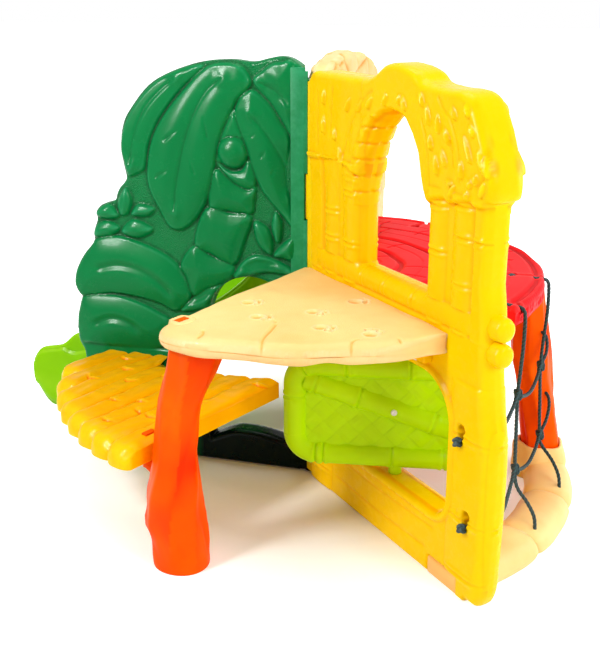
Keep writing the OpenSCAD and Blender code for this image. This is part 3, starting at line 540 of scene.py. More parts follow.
def bump(tree, height, strength, distance, under=None):
    """Normal of fine bumps, on top of another normal if there is one."""
    made = node(tree, "ShaderNodeBump", Strength=strength, Distance=distance)
    link(tree, height, made.inputs["Height"])
    if under is not None:
        link(tree, under, made.inputs["Normal"])
    return made.outputs["Normal"]


print("shader steps:", [step.__name__ for step in (speckle, stretch, ramp, join, blend, bump)])

# %% [markdown]
# Moulded polyethylene has one colour all through, yet it is never even: soft clouds in the pigment, an
# orange-peel skin and fine scuffs. On top of that the skin paints shade into the hollows and makes the ridges
# paler, partly as wear and partly as painted sheen. Painted textures could show that, one for each wall. One
# node group does it for all of them, from each point's place and from the two marks on the mesh: stipple
# roughens flat ground, and carve tells the ridges from the hollows.

# %% Plastic skin
def skin_sockets(group):
    """What a plastic gives to the skin, and what the skin gives back."""
    face = group.interface
    for name in ("Colour", "Shade and cloud", "Rubbed and sheen"):
        face.new_socket(name, in_out="INPUT", socket_type="NodeSocketColor")
    for name in ("Gloss", "Clouds"):
        face.new_socket(name, in_out="INPUT", socket_type="NodeSocketFloat")
    for name, kind in (("Colour", "Color"), ("Roughness", "Float"), ("Normal", "Vector")):
        face.new_socket(name, in_out="OUTPUT", socket_type="NodeSocket" + kind)


def skin_group():
    group = bpy.data.node_groups.new("moulded_skin", "ShaderNodeTree")
    skin_sockets(group)
    start, end = node(group, "NodeGroupInput").outputs, node(group, "NodeGroupOutput").inputs
    place, stipple, carve = place_of(group), mark_of(group, "stipple"), mark_of(group, "carve")
    pointed = node(group, "ShaderNodeNewGeometry").outputs["Pointiness"]
    wear = speckle(group, place, 38.0, 5.0, 0.7)

    # Paler ridges and points: partly wear, and partly painted sheen where light would catch them.
    sharp, high = ramp(group, pointed, 0.53, 0.60, 0.0, 0.7), ramp(group, carve, 0.8, 4.0, 0.0, 0.9)
    wear_sheen_mask = join(group, "MULTIPLY", join(group, "MAXIMUM", sharp, high), wear)
    # Painted shade in the hollows and inner corners.
    inner, low = ramp(group, pointed, 0.485, 0.42, 0.0, 0.7), ramp(group, carve, -0.5, -4.0, 0.0, 0.9)
    hollow = join(group, "MAXIMUM", inner, low)
    clouds = ramp(group, speckle(group, place, 5.0, 4.0, 0.6), 0.35, 0.68)
    tone = join(group, "MULTIPLY", clouds, start["Clouds"])
    drawn_out = stretch(group, place, (310.0, 26.0, 120.0), (0.3, 0.5, 0.7))
    scuff = ramp(group, speckle(group, drawn_out, 1.0, 3.0, 0.6), 0.66, 0.72, 0.0, 0.10)

    # Pigment clouds, then painted shade in the hollows, then wear and painted sheen on the ridges, then
    # scuffs.
    colour = blend(group, start["Colour"], start["Shade and cloud"], tone)
    colour = blend(group, colour, start["Shade and cloud"], hollow)
    colour = blend(group, colour, start["Rubbed and sheen"], wear_sheen_mask)
    link(group, blend(group, colour, start["Rubbed and sheen"], scuff), end["Colour"])

    rough = join(group, "MULTIPLY_ADD", wear, 0.14, start["Gloss"])
    link(group, join(group, "MULTIPLY_ADD", stipple, 0.12, rough), end["Roughness"])

    peel = bump(group, speckle(group, place, 420.0, 2.0), 0.08, 0.0006)
    grain = node(group, "ShaderNodeTexVoronoi", Scale=330.0)
    link(group, place, grain.inputs["Vector"])
    lumps = join(group, "MULTIPLY", grain.outputs["Distance"], stipple)
    link(group, bump(group, lumps, 0.9, 0.0024, peel), end["Normal"])
    return group


SKIN = skin_group()
print(SKIN.name, len(SKIN.nodes), "nodes")

# %% [markdown]
# The gym has nine plastics, and all of them are that skin in other colours. They could be copies of one
# material, but then every change would be made nine times. plastic() takes the colours, the gloss and the
# shine instead. The shine is low, because the mirrored white room would wash out the colours. The green
# wall also gets painted shade on its foot beside the pole, a dark colour where it stands in shadow.

# %% Plastic colours
def rgb(r, g, b):
    """Colour from its picture values, 0 to 255."""
    parts = (r / 255, g / 255, b / 255)
    return tuple(c / 12.92 if c <= 0.04045 else ((c + 0.055) / 1.055) ** 2.4 for c in parts) + (1.0,)


def paint_foot_shade(tree, paint, foot):
    """Painted shade for the lowest 0.11 m beside the pole."""
    axes = node(tree, "ShaderNodeSeparateXYZ")
    link(tree, place_of(tree), axes.inputs["Vector"])
    low = ramp(tree, axes.outputs["Z"], 0.10, 0.135, 1.0, 0.0)
    near = ramp(tree, axes.outputs["X"], -0.42, -0.34)
    return blend(tree, paint, foot, join(tree, "MULTIPLY", low, near))


def plastic(name, colour, shade_cloud_colour, wear_sheen_colour, gloss, shine, clouds, foot=None):
    """Material with the moulded skin; foot is the colour of the painted shade on its foot."""
    material, tree, shader = new_finish(name)
    skin = node(tree, "ShaderNodeGroup", node_tree=SKIN)
    skin.inputs["Colour"].default_value = colour
    skin.inputs["Shade and cloud"].default_value = shade_cloud_colour
    skin.inputs["Rubbed and sheen"].default_value = wear_sheen_colour
    skin.inputs["Gloss"].default_value = gloss
    skin.inputs["Clouds"].default_value = clouds
    paint = skin.outputs["Colour"]
    if foot:
        paint = paint_foot_shade(tree, paint, foot)
    link(tree, paint, shader.inputs["Base Color"])
    link(tree, skin.outputs["Roughness"], shader.inputs["Roughness"])
    link(tree, skin.outputs["Normal"], shader.inputs["Normal"])
    shader.inputs["Specular IOR Level"].default_value = shine
    shader.inputs["Coat Weight"].default_value = 0.5 * shine
    shader.inputs["Coat Roughness"].default_value = 0.08
    print(name, "shine", shine)
    return material


# Each plastic: its colour, the colour of its painted shade in the hollows and of its pigment clouds, the
# paler colour of its wear and painted sheen, then gloss, shine and clouds. The green's last colour is the
# painted shade on its foot.
GREEN = plastic("green_plastic", rgb(0, 128, 66), rgb(0, 80, 36), rgb(64, 178, 128), 0.19, 0.07, 0.16,
                rgb(2, 14, 8))
YELLOW = plastic("yellow_plastic", rgb(255, 208, 0), rgb(255, 176, 0), rgb(255, 226, 20), 0.20, 0.05, 0.10)
TAN = plastic("tan_plastic", rgb(255, 222, 152), rgb(250, 168, 62), rgb(255, 238, 195), 0.26, 0.06, 0.30)
RED = plastic("red_plastic", rgb(250, 34, 38), rgb(146, 0, 4), rgb(250, 78, 78), 0.30, 0.02, 0.08)
AMBER = plastic("amber_plastic", rgb(255, 188, 0), rgb(255, 126, 0), rgb(255, 224, 10), 0.24, 0.05, 0.2)
ORANGE = plastic("orange_plastic", rgb(254, 93, 0), rgb(240, 44, 0), rgb(255, 124, 0), 0.26, 0.03, 0.40)
LIME = plastic("lime_plastic", rgb(148, 214, 0), rgb(96, 172, 0), rgb(176, 226, 40), 0.24, 0.05, 0.16)
GATE = plastic("gate_plastic", rgb(184, 230, 0), rgb(140, 190, 0), rgb(204, 236, 20), 0.24, 0.05, 0.12)
WHITE = plastic("white_plastic", rgb(244, 244, 240), rgb(210, 210, 205), rgb(250, 250, 250), 0.2, 0.12, 0.1)

# %% [markdown]
# The rope is dark plastic twine with dusty patches. A striped texture could fake its twist, but stripes stay
# flat at the outline. The strands are real here, so the material paints shade into the grooves between them,
# by the carve mark, and adds dust and fibre.

# %% Rope finish
def rope_material():
    material, tree, shader = new_finish("rope")
    place = place_of(tree)
    # Painted shade in the grooves between the strands.
    strand_groove_shade = blend(tree, rgb(0, 7, 9), rgb(26, 66, 68), ramp(tree, mark_of(tree, "carve"), -4.5, 4.0))
    dust = ramp(tree, speckle(tree, place, 45.0, 2.0), 0.45, 0.8, 0.0, 0.5)
    link(tree, blend(tree, strand_groove_shade, rgb(28, 58, 57), dust), shader.inputs["Base Color"])
    fibre = speckle(tree, place, 900.0, 3.0, 0.7)
    link(tree, ramp(tree, fibre, 0.3, 0.7, 0.55, 0.9), shader.inputs["Roughness"])
    link(tree, bump(tree, fibre, 0.6, 0.0008), shader.inputs["Normal"])
    return material


ROPE = rope_material()
print(ROPE.name, len(ROPE.node_tree.nodes), "nodes")

# %% [markdown]
# Pole, pins and screws are plain steel, brushed along their length. They are hardly seen and could be left
# grey. They keep their CAD shapes, and a small metal material with a stretched noise brushes them.

# %% Steel finish
def steel_material():
    material, tree, shader = new_finish("steel")
    shader.inputs["Metallic"].default_value = 1.0
    place = place_of(tree)
    spots = speckle(tree, place, 60.0, 4.0, 0.65)
    link(tree, blend(tree, rgb(150, 152, 155), rgb(205, 206, 208), spots), shader.inputs["Base Color"])
    brushed = speckle(tree, stretch(tree, place, (900.0, 900.0, 30.0)), 1.0, 4.0, 0.6)
    link(tree, ramp(tree, brushed, 0.3, 0.7, 0.25, 0.5), shader.inputs["Roughness"])
    link(tree, bump(tree, brushed, 0.25, 0.0003), shader.inputs["Normal"])
    return material


STEEL = steel_material()
for name in ("hub_pole", "gate_pin_lower", "gate_pin_upper", "stump_deck_screws", "ledge_deck_screws",
             "raft_screws", "slide_screws"):
    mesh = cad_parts[name].data
    mesh.materials.clear()
    mesh.materials.append(STEEL)
    print(name, "is steel")

# %% [markdown]
# The gym stands in a white studio. A plain white background would light it from all sides and flatten its
# carving. So the room is white where it is seen or mirrored, and dimmer as a source of light.

# %% Room
def seen_directly(tree):
    """1 for rays that show the background: from the camera, in gloss or through glass."""
    path = node(tree, "ShaderNodeLightPath").outputs
    pair = join(tree, "MAXIMUM", path["Is Camera Ray"], path["Is Glossy Ray"])
    return join(tree, "MAXIMUM", pair, path["Is Transmission Ray"])


ROOM = 0.36
world = bpy.data.worlds.new("studio")
scene.world = world
world.use_nodes = True
sky = world.node_tree
room = sky.nodes["Background"]
room.inputs["Color"].default_value = (1.0, 1.0, 1.0, 1.0)
link(sky, ramp(sky, seen_directly(sky), 0.0, 1.0, ROOM, 1.0), room.inputs["Strength"])
print("room gives", ROOM, "of its white as light")

# %% [markdown]
# The floor is pale, takes the shadows near the gym and fades to plain white farther out. A shadow catcher
# could do that, but it would also drop the light that a floor throws up. So it is a wide sheet that glows
# more the farther a point is from the middle. It belongs to the stage and not to the gym.

# %% Floor
def floor_material():
    material, tree, shader = new_finish("floor")
    place = place_of(tree)
    far = node(tree, "ShaderNodeVectorMath", operation="LENGTH")
    link(tree, place, far.inputs[0])
    glow = join(tree, "MULTIPLY", ramp(tree, far.outputs["Value"], 0.42, 1.05), seen_directly(tree))
    specks = speckle(tree, place, 30.0, 3.0)
    paint = blend(tree, (0.92, 0.92, 0.92, 1.0), (0.95, 0.95, 0.945, 1.0), specks)
    link(tree, paint, shader.inputs["Base Color"])
    shader.inputs["Roughness"].default_value = 0.6
    shader.inputs["Specular IOR Level"].default_value = 0.2
    shader.inputs["Emission Color"].default_value = (1.0, 1.0, 1.0, 1.0)
    link(tree, glow, shader.inputs["Emission Strength"])
    return material


floor_mesh = bpy.data.meshes.new("floor")
floor_mesh.from_pydata([(-30, -30, 0), (30, -30, 0), (30, 30, 0), (-30, 30, 0)], [], [(0, 1, 2, 3)])
floor_mesh.materials.append(floor_material())
floor = bpy.data.objects.new("floor", floor_mesh)
floor.location.z = -0.0008
scene.collection.objects.link(floor)
print("floor at", round(floor.location.z, 4), "m")

# %% [markdown]
# A small strong lamp to the upper left draws the shadows, and wide soft ones fill from the right, from above
# and from the side. Stronger lamps could also bring the sheen on the plastic, but they would bleach its
# colours. So two more lamps show in the gloss alone and light nothing else.

# %% Lamps
def lamp(name, place, aim, size, power, gloss_only=False):
    data = bpy.data.lights.new(name, "AREA")
    data.shape = "DISK"
    data.size = size
    data.energy = power
    obj = bpy.data.objects.new(name, data)
    scene.collection.objects.link(obj)
    obj.location = place
    obj.visible_diffuse = not gloss_only
    way = np.subtract(aim, place)
    tilt = math.acos(-way[2] / np.linalg.norm(way))
    obj.rotation_euler = (tilt, 0, math.atan2(way[1], way[0]) - math.pi / 2)
    print("lamp", name, power, "W")


lamp("key", (-1.9, -2.6, 3.4), (0, 0, 0.6), 0.8, 94)
lamp("fill", (3.0, -2.2, 2.2), (0.2, -0.2, 0.5), 1.2, 58)
lamp("over", (0.0, 0.9, 4.2), (0, 0, 0), 2.2, 54)
lamp("side", (2.6, 0.4, 1.1), (0.55, 0.1, 0.2), 1.2, 26)
lamp("gloss", (-2.1, -2.6, 1.9), (-0.3, 0, 0.8), 1.1, 210, True)
lamp("gloss_high", (-1.7, -2.5, 3.1), (-0.3, 0, 0.7), 0.9, 170, True)

# %% [markdown]
# Each rope of the net ends in a hole: in the deck, the stones, the yellow wall or the right trunk. Every end
# could be drawn for itself, but ends of one kind look alike. So each kind has a function that gives the
# points on the way to its knot, and hang() gives the points that sag between two knots.

# %% Rope ends
def polar(r, a):
    return r * math.cos(math.radians(a)), r * math.sin(math.radians(a))


def on_wall(angle, u, w):
    c, s = math.cos(math.radians(angle)), math.sin(math.radians(angle))
    return u * c + w * s, u * s - w * c


def spot(r, a, z):
    return polar(r, a) + (z,)


def deck_end(a):
    """Out of the deck's groove and over its rim."""
    return [spot(545, a, 628), spot(587, a, 631), spot(623, a, 631), spot(638, a, 627), spot(644, a, 608)]


def kerb_end(ways, hole):
    """Out to the stones and down into a hole."""
    return [spot(654, ways[0], 150), spot(686, ways[1], 118), spot(706, ways[2], 88),
            spot(712, hole, 60), spot(712, hole, 16)]


def wall_end(u, z):
    """Through the keyhole of the yellow wall."""
    return [on_wall(-45, u, w) + (z,) for w in (48, 0, -45)]


def trunk_end(middle, steps):
    """Through the right trunk, as steps from the middle of its hole."""
    return [tuple(np.add(middle, s)) for s in steps]


def hang(p, q, steps):
    """Between two knots: share of the way, push outwards and sag."""
    p, q = np.array(p), np.array(q)
    return [tuple(p + share * (q - p) + (push, 0, -sag)) for share, push, sag in steps]


print("way over the rim of the deck:", len(deck_end(0)), "points")

# %% [markdown]
# Four ropes make the climbing net: two hang from the deck to the stones, and two run across from the yellow
# wall to the right trunk. A simulation could let them fall, but not the way these fell. Their routes are
# written as points instead: out of one hole, from knot to knot with some sag, and into the next hole.

# %% Rope routes
WALL_SAG = [(0.15, 10, 6), (0.34, 9, 16), (0.62, 3, 26), (0.87, 0, 17)]
NET_SAG = [(0.22, 0, 24), (0.52, 3, 36), (0.81, 2, 23)]
left_route = deck_end(-21.8) + [
    spot(645, -21.9, 540), spot(641, -21.9, 460), spot(638, -21.9, 402),
    spot(640, -21.8, 300), spot(643, -21.7, 195)] + kerb_end((-22.1, -22.4, -22.4), -22.4)
right_route = deck_end(3.1) + [
    spot(645, 3.1, 540), spot(640, 3.1, 460), spot(637, 3.1, 381),
    spot(642, 3.0, 280), spot(648, 3.0, 174)] + kerb_end((2.2, 0, -1.7), -2.4)
UPPER_HOLE = trunk_end((594.3, 154.8, 450), [
    (54, -90, -40), (53, -66, -12), (41, -41, 0), (0, 0, 0), (-47, 47, 0)])
LOWER_HOLE = trunk_end((621.7, 157.5, 268), [
    (40, -96, -58), (45, -72, -20), (35, -42, -1), (0, 0, 0), (-46, 55, 0)])
UPPER_KNOT, LOWER_KNOT = 7, 9


def cross_route(start, knot, end):
    """From the yellow wall over the knots of both upright ropes to the right trunk."""
    first, second = left_route[knot], right_route[knot]
    return start + hang(start[2], first, WALL_SAG) + [first] + hang(first, second, NET_SAG) + [second] + end


ROPES = {
    "net_rope_left": left_route,
    "net_rope_right": right_route,
    "net_rope_upper": cross_route(wall_end(726, 399), UPPER_KNOT, UPPER_HOLE),
    "net_rope_lower": cross_route(wall_end(756, 194), LOWER_KNOT, LOWER_HOLE),
}
print("points of each route:", {name: len(route) for name, route in ROPES.items()})

# %% [markdown]
# Rope is three strands laid together. Three twisted tubes would be exact, but the gaps between them are too
# fine to see. One tube is swept along each route instead, with three lobes that turn along it.

# %% Ropes
ROPE_R = 5.0
LAY = 2 * math.pi / 34


def strands(a, along):
    return 0.80 + 0.20 * np.abs(np.cos(1.5 * (a - LAY * along)))


def even(line, step):
    """The same line with points at even steps."""
    length = np.concatenate([[0], np.cumsum(np.linalg.norm(np.diff(line, axis=0), axis=1))])
    at = np.linspace(0, length[-1], max(int(length[-1] / step), 2) + 1)
    return np.stack([np.interp(at, length, line[:, k]) for k in range(3)], 1)


def lay_marks(rings, centre):
    """How far each point of a rope stands out of its strands."""
    r = np.linalg.norm(rings - centre[:, None], axis=2)
    return 3.5 * (r - r.mean()) / max(r.std(), 1e-6)


for name, route in ROPES.items():
    line = even(spline(route, 10), 2.2)
    rings, _ = sweep(line, ROPE_R, 24, strands)
    piece = Piece()
    piece.net(rings, carve=lay_marks(rings, line))
    obj = piece.object(name, ROPE, "frame", [name])
    length = float(np.linalg.norm(np.diff(line, axis=0), axis=1).sum()) * MM
    print(name, "length", round(length, 3))

# %% [markdown]
# Every rope ends in an overhand knot: a loop that passes through itself, pulled tight. A lumpy ball could
# stand for it, but from near the crossings show. The line of a trefoil has just those crossings, so rope is
# swept along it, round a small core, and turned so that it leaves through its middle.

# %% Knots
def knot(piece, at, way, turn=0.0, long=1.6):
    way = np.asarray(way, float) / np.linalg.norm(way)
    u = np.cross(way, [0.2, 0.3, 1.0] if abs(way[2]) < 0.8 else [1.0, 0.3, 0.1])
    u /= np.linalg.norm(u)
    v = np.cross(way, u)
    t = np.linspace(0, 2 * np.pi, 121)[:-1] + turn
    x, y, z = np.sin(t) + 2 * np.sin(2 * t), np.cos(t) - 2 * np.cos(2 * t), -1.5 * long * np.sin(3 * t)
    line = np.asarray(at) + 2.9 * (np.outer(x, u) + np.outer(y, v) + np.outer(z, way))
    line = np.concatenate([line, line[:1]])
    rings, _ = sweep(line, 4.6, 14, strands)
    piece.net(rings, carve=lay_marks(rings, line))
    ball = [(max(8.5 * math.sin(b), 0.05), 8.5 * math.cos(b)) for b in np.linspace(0, math.pi, 9)]

    def core(p, q, r):
        return tuple(at[k] + p * u[k] + q * v[k] + r * way[k] for k in range(3))

    lathe(piece, ball, core, 14)


def knots(name, spots, long):
    piece = Piece()
    for k, (rope, index) in enumerate(spots):
        route = np.array(ROPES[rope], float)
        way = route[min(index + 1, len(route) - 1) if index >= 0 else -1] - route[index - 1 if index else 0]
        knot(piece, route[index], way, 0.7 * k, long)
    return piece.object(name, ROPE, "frame", [name])


knots("net_knots", [(rope, k) for rope in ("net_rope_left", "net_rope_right")
                    for k in (UPPER_KNOT, LOWER_KNOT)], 2.4)
knots("wall_rope_knots", [("net_rope_upper", 0), ("net_rope_lower", 0)], 1.4)
knots("deck_rope_knots", [("net_rope_left", 0), ("net_rope_right", 0)], 1.4)
knots("kerb_rope_knots", [("net_rope_left", -1), ("net_rope_right", -1)], 1.4)
knots("trunk_rope_knots", [("net_rope_upper", -1), ("net_rope_lower", -1)], 1.4)

# %% [markdown]
# The carving of the moulds is drawn as heights over a wall. It could be sculpted, but then no stroke could
# be changed by a number. A puff is a cushion over an outline, such as a leaf; a furrow is a soft line, such
# as its midrib. Added up, they give the carved face.

# %% Relief
def puff(q, poly, height, soft, n=5):
    """Cushion over a smooth outline: a crisp rim, then a broad swell as far in as soft."""
    line = spline(poly, n, loop=True)
    rise = np.zeros(len(q))
    near = np.nonzero(np.all((q > line.min(0)) & (q < line.max(0)), 1))[0]
    near = near[within(line, q[near])]
    if len(near):
        d = reach(line, q[near])[0]
        crisp, broad = np.clip(d / min(8, soft), 0, 1), np.clip(d / soft, 0, 1)
        rise[near] = height * (0.36 * np.sqrt(1 - (1 - crisp) ** 2) + 0.64 * (1 - (1 - broad) ** 2))
    return rise


def furrow(q, points, width, depth, n=6):
    """Soft line of that half width and depth, which fades at its ends."""
    line = spline(points, n)
    fall = np.zeros(len(q))
    near = np.nonzero(np.all((q > line.min(0) - 3 * width) & (q < line.max(0) + 3 * width), 1))[0]
    if len(near):
        start, stop = (np.linalg.norm(q[near] - line[k], axis=1) for k in (0, -1))
        fade = smooth(np.minimum(start, stop) / min(3.5 * width, 40))
        fall[near] = depth * fade * np.exp(-(reach(line, q[near], False)[0] / width) ** 2)
    return fall


middle_rise = puff(np.array([(45.0, 45.0)]), rounded_square, 10, 30)
print("cushion on that square:", middle_rise.round(1).tolist(), "mm")

# %% [markdown]
# The three walls share the pole as the leaves of a hinge do: nine knuckles in turn, each joined to its wall
# by a web, with strips on the walls that hide them in the front corner. They could be cut from one tube by
# booleans. Turned rings and small bars give the same faces and go straight into the wall's Piece.

# %% Hinge
KNUCKLE_STEP = 128.05
STRIP_R = 34.7


def knuckles(piece, bands, place):
    """Hinge knuckles of one wall round the pole, each joined to the wall by a web."""
    for k in bands:
        low, high = KNUCKLE_STEP * k + 0.5, KNUCKLE_STEP * k + KNUCKLE_STEP - 1.5
        profile = [(15, low), (30, low), (33, low + 1.2), (34, low + 4),
                   (34, high - 4), (33, high - 1.2), (30, high), (15, high)]
        lathe(piece, profile, lambda x, y, z: (x, y, z))
        prism(piece, 16, -23, low, 62, 23, high, lambda u, w, z: place(u, z, w), 3)


def corner_lip(piece, side, spans, place, tip=15.0, root=62):
    """Flat strip that covers the knuckles in the front corner; side is the wall face it is on."""
    last, out, back = (43, 35.1, 12) if root > 40 else (48, 35.0, 26)
    first = math.degrees(math.acos((tip - 1) / STRIP_R))
    ways = np.radians(np.linspace(first, last, 5))
    curve = [(STRIP_R * math.cos(a), side * STRIP_R * math.sin(a)) for a in ways]
    face = side * out
    outer = [(root, face), (tip + 2, face), (tip + 0.2, 0.99 * face)]
    section = np.array(outer + curve + [(root, side * back)])
    for low, high in spans:
        rings = []
        for z, inset in ((low, 1.5), (low + 1.5, 0), (high - 1.5, 0), (high, 1.5)):
            s = section * [1, 1 - inset / 35]
            rings.append(np.stack(np.broadcast_arrays(*place(s[:, 0], z, s[:, 1])), -1))
        piece.net(rings if side < 0 else rings[::-1])


WALL_HALF = 35.0
print("walls are", 2 * WALL_HALF, "mm thick, a knuckle is", KNUCKLE_STEP, "mm")

# %% [markdown]
# The green wall shows a palm tree: broad leaves over a ringed trunk, a coconut, bushes and mounds. Leaves
# could be modelled one by one and joined, but a mould has no undercuts: its face is heights only. So every
# form is an outline that was drawn over the photographed wall, measured from the pole and the floor.

# %% Palm outlines
palm_shares = np.array([
    (.95, 0), (.975, .12), (.977, .244), (.991, .271), (1.006, .288), (1.012, .306), (1.012, .326),
    (1.004, .35), (.991, .375), (.984, .394), (.987, .407), (1.002, .423), (1.009, .438), (.998, .469),
    (.978, .493), (.95, .517), (.917, .54), (.911, .55), (.914, .564), (.907, .58), (.898, .594),
    (.894, .605), (.897, .616), (.89, .627), (.868, .639), (.836, .645), (.81, .653), (.803, .667),
    (.79, .682), (.768, .697), (.759, .71), (.768, .74), (.776, .78), (.765, .83), (.73, .872),
    (.63, .938), (.467, .98), (.331, .991), (.235, .987), (.175, .995), (.127, 1.0), (.09, .996),
    (.062, .986)])
palm_outline = np.concatenate([[(36, 0)], spline(palm_shares * (743, 1208), 6), [(36, 1184)]])
crawl_hole = np.concatenate([
    spline([(65, 81), (127.5, 98), (190, 106), (245, 103), (315, 72)], 5),
    arc(191, 461, 124, 0, 90, 14), arc(189, 461, 124, 90, 180, 14)])

# outline, midrib, side veins and height of each leaf
LEAVES = [
    ([(167, 1118), (121, 1081), (91, 1036), (67, 996), (70, 936), (73, 876), (64, 810), (49, 734),
      (93, 778), (143, 836), (167, 884), (197, 973), (224, 1049), (214, 1090), (195, 1111)],
     [(183, 1059), (135, 1005), (104, 959), (79, 912), (70, 858), (66, 822)],
     [((150, 1020), (178, 985)), ((120, 975), (150, 930)), ((97, 930), (118, 880))], 9),
    ([(170, 1149), (145, 1170), (120, 1188), (90, 1194), (52, 1186), (52, 985), (67, 1002), (91, 1039),
      (121, 1084), (161, 1124)],
     [(165, 1140), (125, 1128), (90, 1105), (66, 1075)],
     [((125, 1128), (128, 1098)), ((95, 1108), (92, 1070))], 7),
    ([(309, 1180), (402, 1170), (496, 1100), (553, 1019), (574, 950), (566, 901), (551, 861), (506, 879),
      (493, 904), (482, 960), (446, 1032), (385, 1109)],
     [(390, 1150), (457, 1095), (498, 1045), (532, 965), (546, 889)],
     [((470, 1079), (462, 1044)), ((505, 1044), (539, 1026)), ((517, 996), (502, 960))], 9),
    ([(300, 1180), (378, 1109), (440, 1035), (476, 967), (493, 879), (486, 823), (458, 768), (433, 724),
      (406, 712), (372, 725), (331, 769), (303, 827), (288, 890), (278, 939), (263, 994), (240, 1042),
      (214, 1090), (183, 1121), (176, 1149), (212, 1186)],
     [(250, 1153), (302, 1111), (342, 1045), (370, 971), (389, 897), (403, 828), (409, 764)],
     [((369, 1017), (436, 969)), ((313, 1052), (300, 977)), ((358, 941), (340, 875)),
      ((412, 896), (467, 862))], 12)]
TRUNK_RINGS = [
    [(287, 896), (228, 859), (187, 843), (164, 856), (168, 816), (180, 773), (246, 777), (306, 788)],
    [(318, 781), (246, 774), (178, 769), (196, 702), (233, 620), (302, 647), (354, 675)],
    [(357, 670), (302, 643), (233, 618), (250, 573), (318, 541), (362, 517), (384, 572), (400, 610)],
    [(283, 920), (263, 891), (228, 859), (187, 843), (164, 856), (168, 896), (186, 928), (205, 900),
     (227, 893), (256, 900)]]
BUSHES = [
    [(582, 744), (591, 785), (563, 830), (543, 794), (554, 755)],
    [(550, 752), (525, 783), (474, 774), (492, 749), (533, 745)],
    [(585, 744), (621, 780), (657, 762), (662, 739), (624, 730)],
    [(587, 711), (624, 728), (664, 712), (673, 676), (628, 673), (599, 691)],
    [(583, 700), (541, 737), (480, 712), (516, 684), (557, 682)],
    [(172, 754), (137, 744), (118, 714), (119, 660), (151, 674), (170, 710)],
    [(108, 786), (90, 759), (90, 716), (104, 693), (118, 720), (121, 751)],
    [(116, 657), (93, 690), (52, 718), (52, 650), (87, 650)]]
# outline and middle furrow of each mound
MOUNDS = [
    ([(674, 666), (599, 684), (517, 667), (436, 633), (394, 591), (366, 520), (415, 466), (470, 485),
      (539, 499), (624, 504), (725, 486), (747, 536), (725, 599)],
     [(680, 575), (597, 598), (521, 587), (460, 552), (414, 503)]),
    ([(725, 483), (624, 500), (540, 485), (471, 457), (437, 433), (447, 357), (533, 334), (715, 309),
      (745, 383)],
     [(699, 395), (628, 429), (564, 418), (524, 384)]),
    ([(402, 467), (366, 510), (311, 548), (250, 568), (278, 508), (333, 480)],
     [(385, 488), (330, 520), (285, 545)]),
    ([(234, 577), (216, 624), (170, 656), (106, 645), (62, 623), (65, 604), (145, 605)],
     [(215, 600), (160, 632), (90, 625)])]
print(len(LEAVES), "leaves,", len(BUSHES), "bushes,", len(MOUNDS), "mounds,", len(TRUNK_RINGS), "trunk rings")

# %% [markdown]
# Leaves overlap on the real wall, and a nearer one hides a farther one with a small step. Keeping the
# highest form everywhere would melt them together. So lay() puts one form after the other over what is
# there already, and each keeps its own rim. The flat ground between them is stippled.

# %% Palm wall
GROUND = -12.0


def palm_face(q, rim):
    rise = np.full(len(q), GROUND)

    def lay(h):
        """Lay a form over the lower ones, with a step of 8 mm at its rim."""
        np.copyto(rise, np.maximum(h + GROUND, rise - 8), where=h > 0.01)

    for outline in BUSHES:
        lay(puff(q, outline, 19, 30))
    for outline, ridge in MOUNDS:
        lay(puff(q, outline, 28, 85) - furrow(q, ridge, 12, 8))
    for outline in TRUNK_RINGS:
        lay(puff(q, outline, 22, 60, 4))
    lay(puff(q, [(227, 1066), (282, 920), (184, 946)], 12, 22))
    nut = 46 ** 2 - (q[:, 0] - 230) ** 2 - (q[:, 1] - 947) ** 2
    lay(np.where(nut > 0, 28 * np.sqrt(np.maximum(nut, 0)) / 46, 0))
    for outline, midrib, veins, height in LEAVES:
        leaf = puff(q, outline, height + 15, 80)
        cut = furrow(q, midrib, 28, 8) + furrow(q, midrib, 4.0, 3.5)
        for vein in veins:
            cut = np.maximum(cut, furrow(q, vein, 4.0, 4.5))
        lay(np.where(leaf > 0.01, np.maximum(leaf - cut, 0.3), 0))
    ground = smooth((GROUND + 0.5 - rise) / 0.4)
    band = smooth((q[:, 0] - 52) / 8) * smooth((q[:, 1] - 336) / 12)
    return rise * band, ground * band


palm = Piece()
PALM = upright(180)
moulded(palm, palm_outline, [crawl_hole], WALL_HALF, 16, palm_face, palm_face, PALM, 2.6, 4, None, 3)
knuckles(palm, (0, 3, 5, 8), PALM)
corner_lip(palm, -1, [(12, 1182)], PALM, 24.0)
corner_lip(palm, -1, [(12, 767), (897, 1172)], PALM, 15.0, 30)
prism(palm, 446.3, -61, 233, 683.6, -34, 268.5, lambda u, w, z: PALM(u, z, w), 5)
palm.object("palm_wall", GREEN, "frame", ["palm_wall"])

# %% [markdown]
# The yellow wall is bamboo under a thatched canopy, with a pointed lookout, a gateway and two keyholes for
# ropes. Openings could be cut by booleans later, but the edge of each is carved along with the wall. So they
# are outlines too, and the thatch has a list of raised drops and one of long strands.

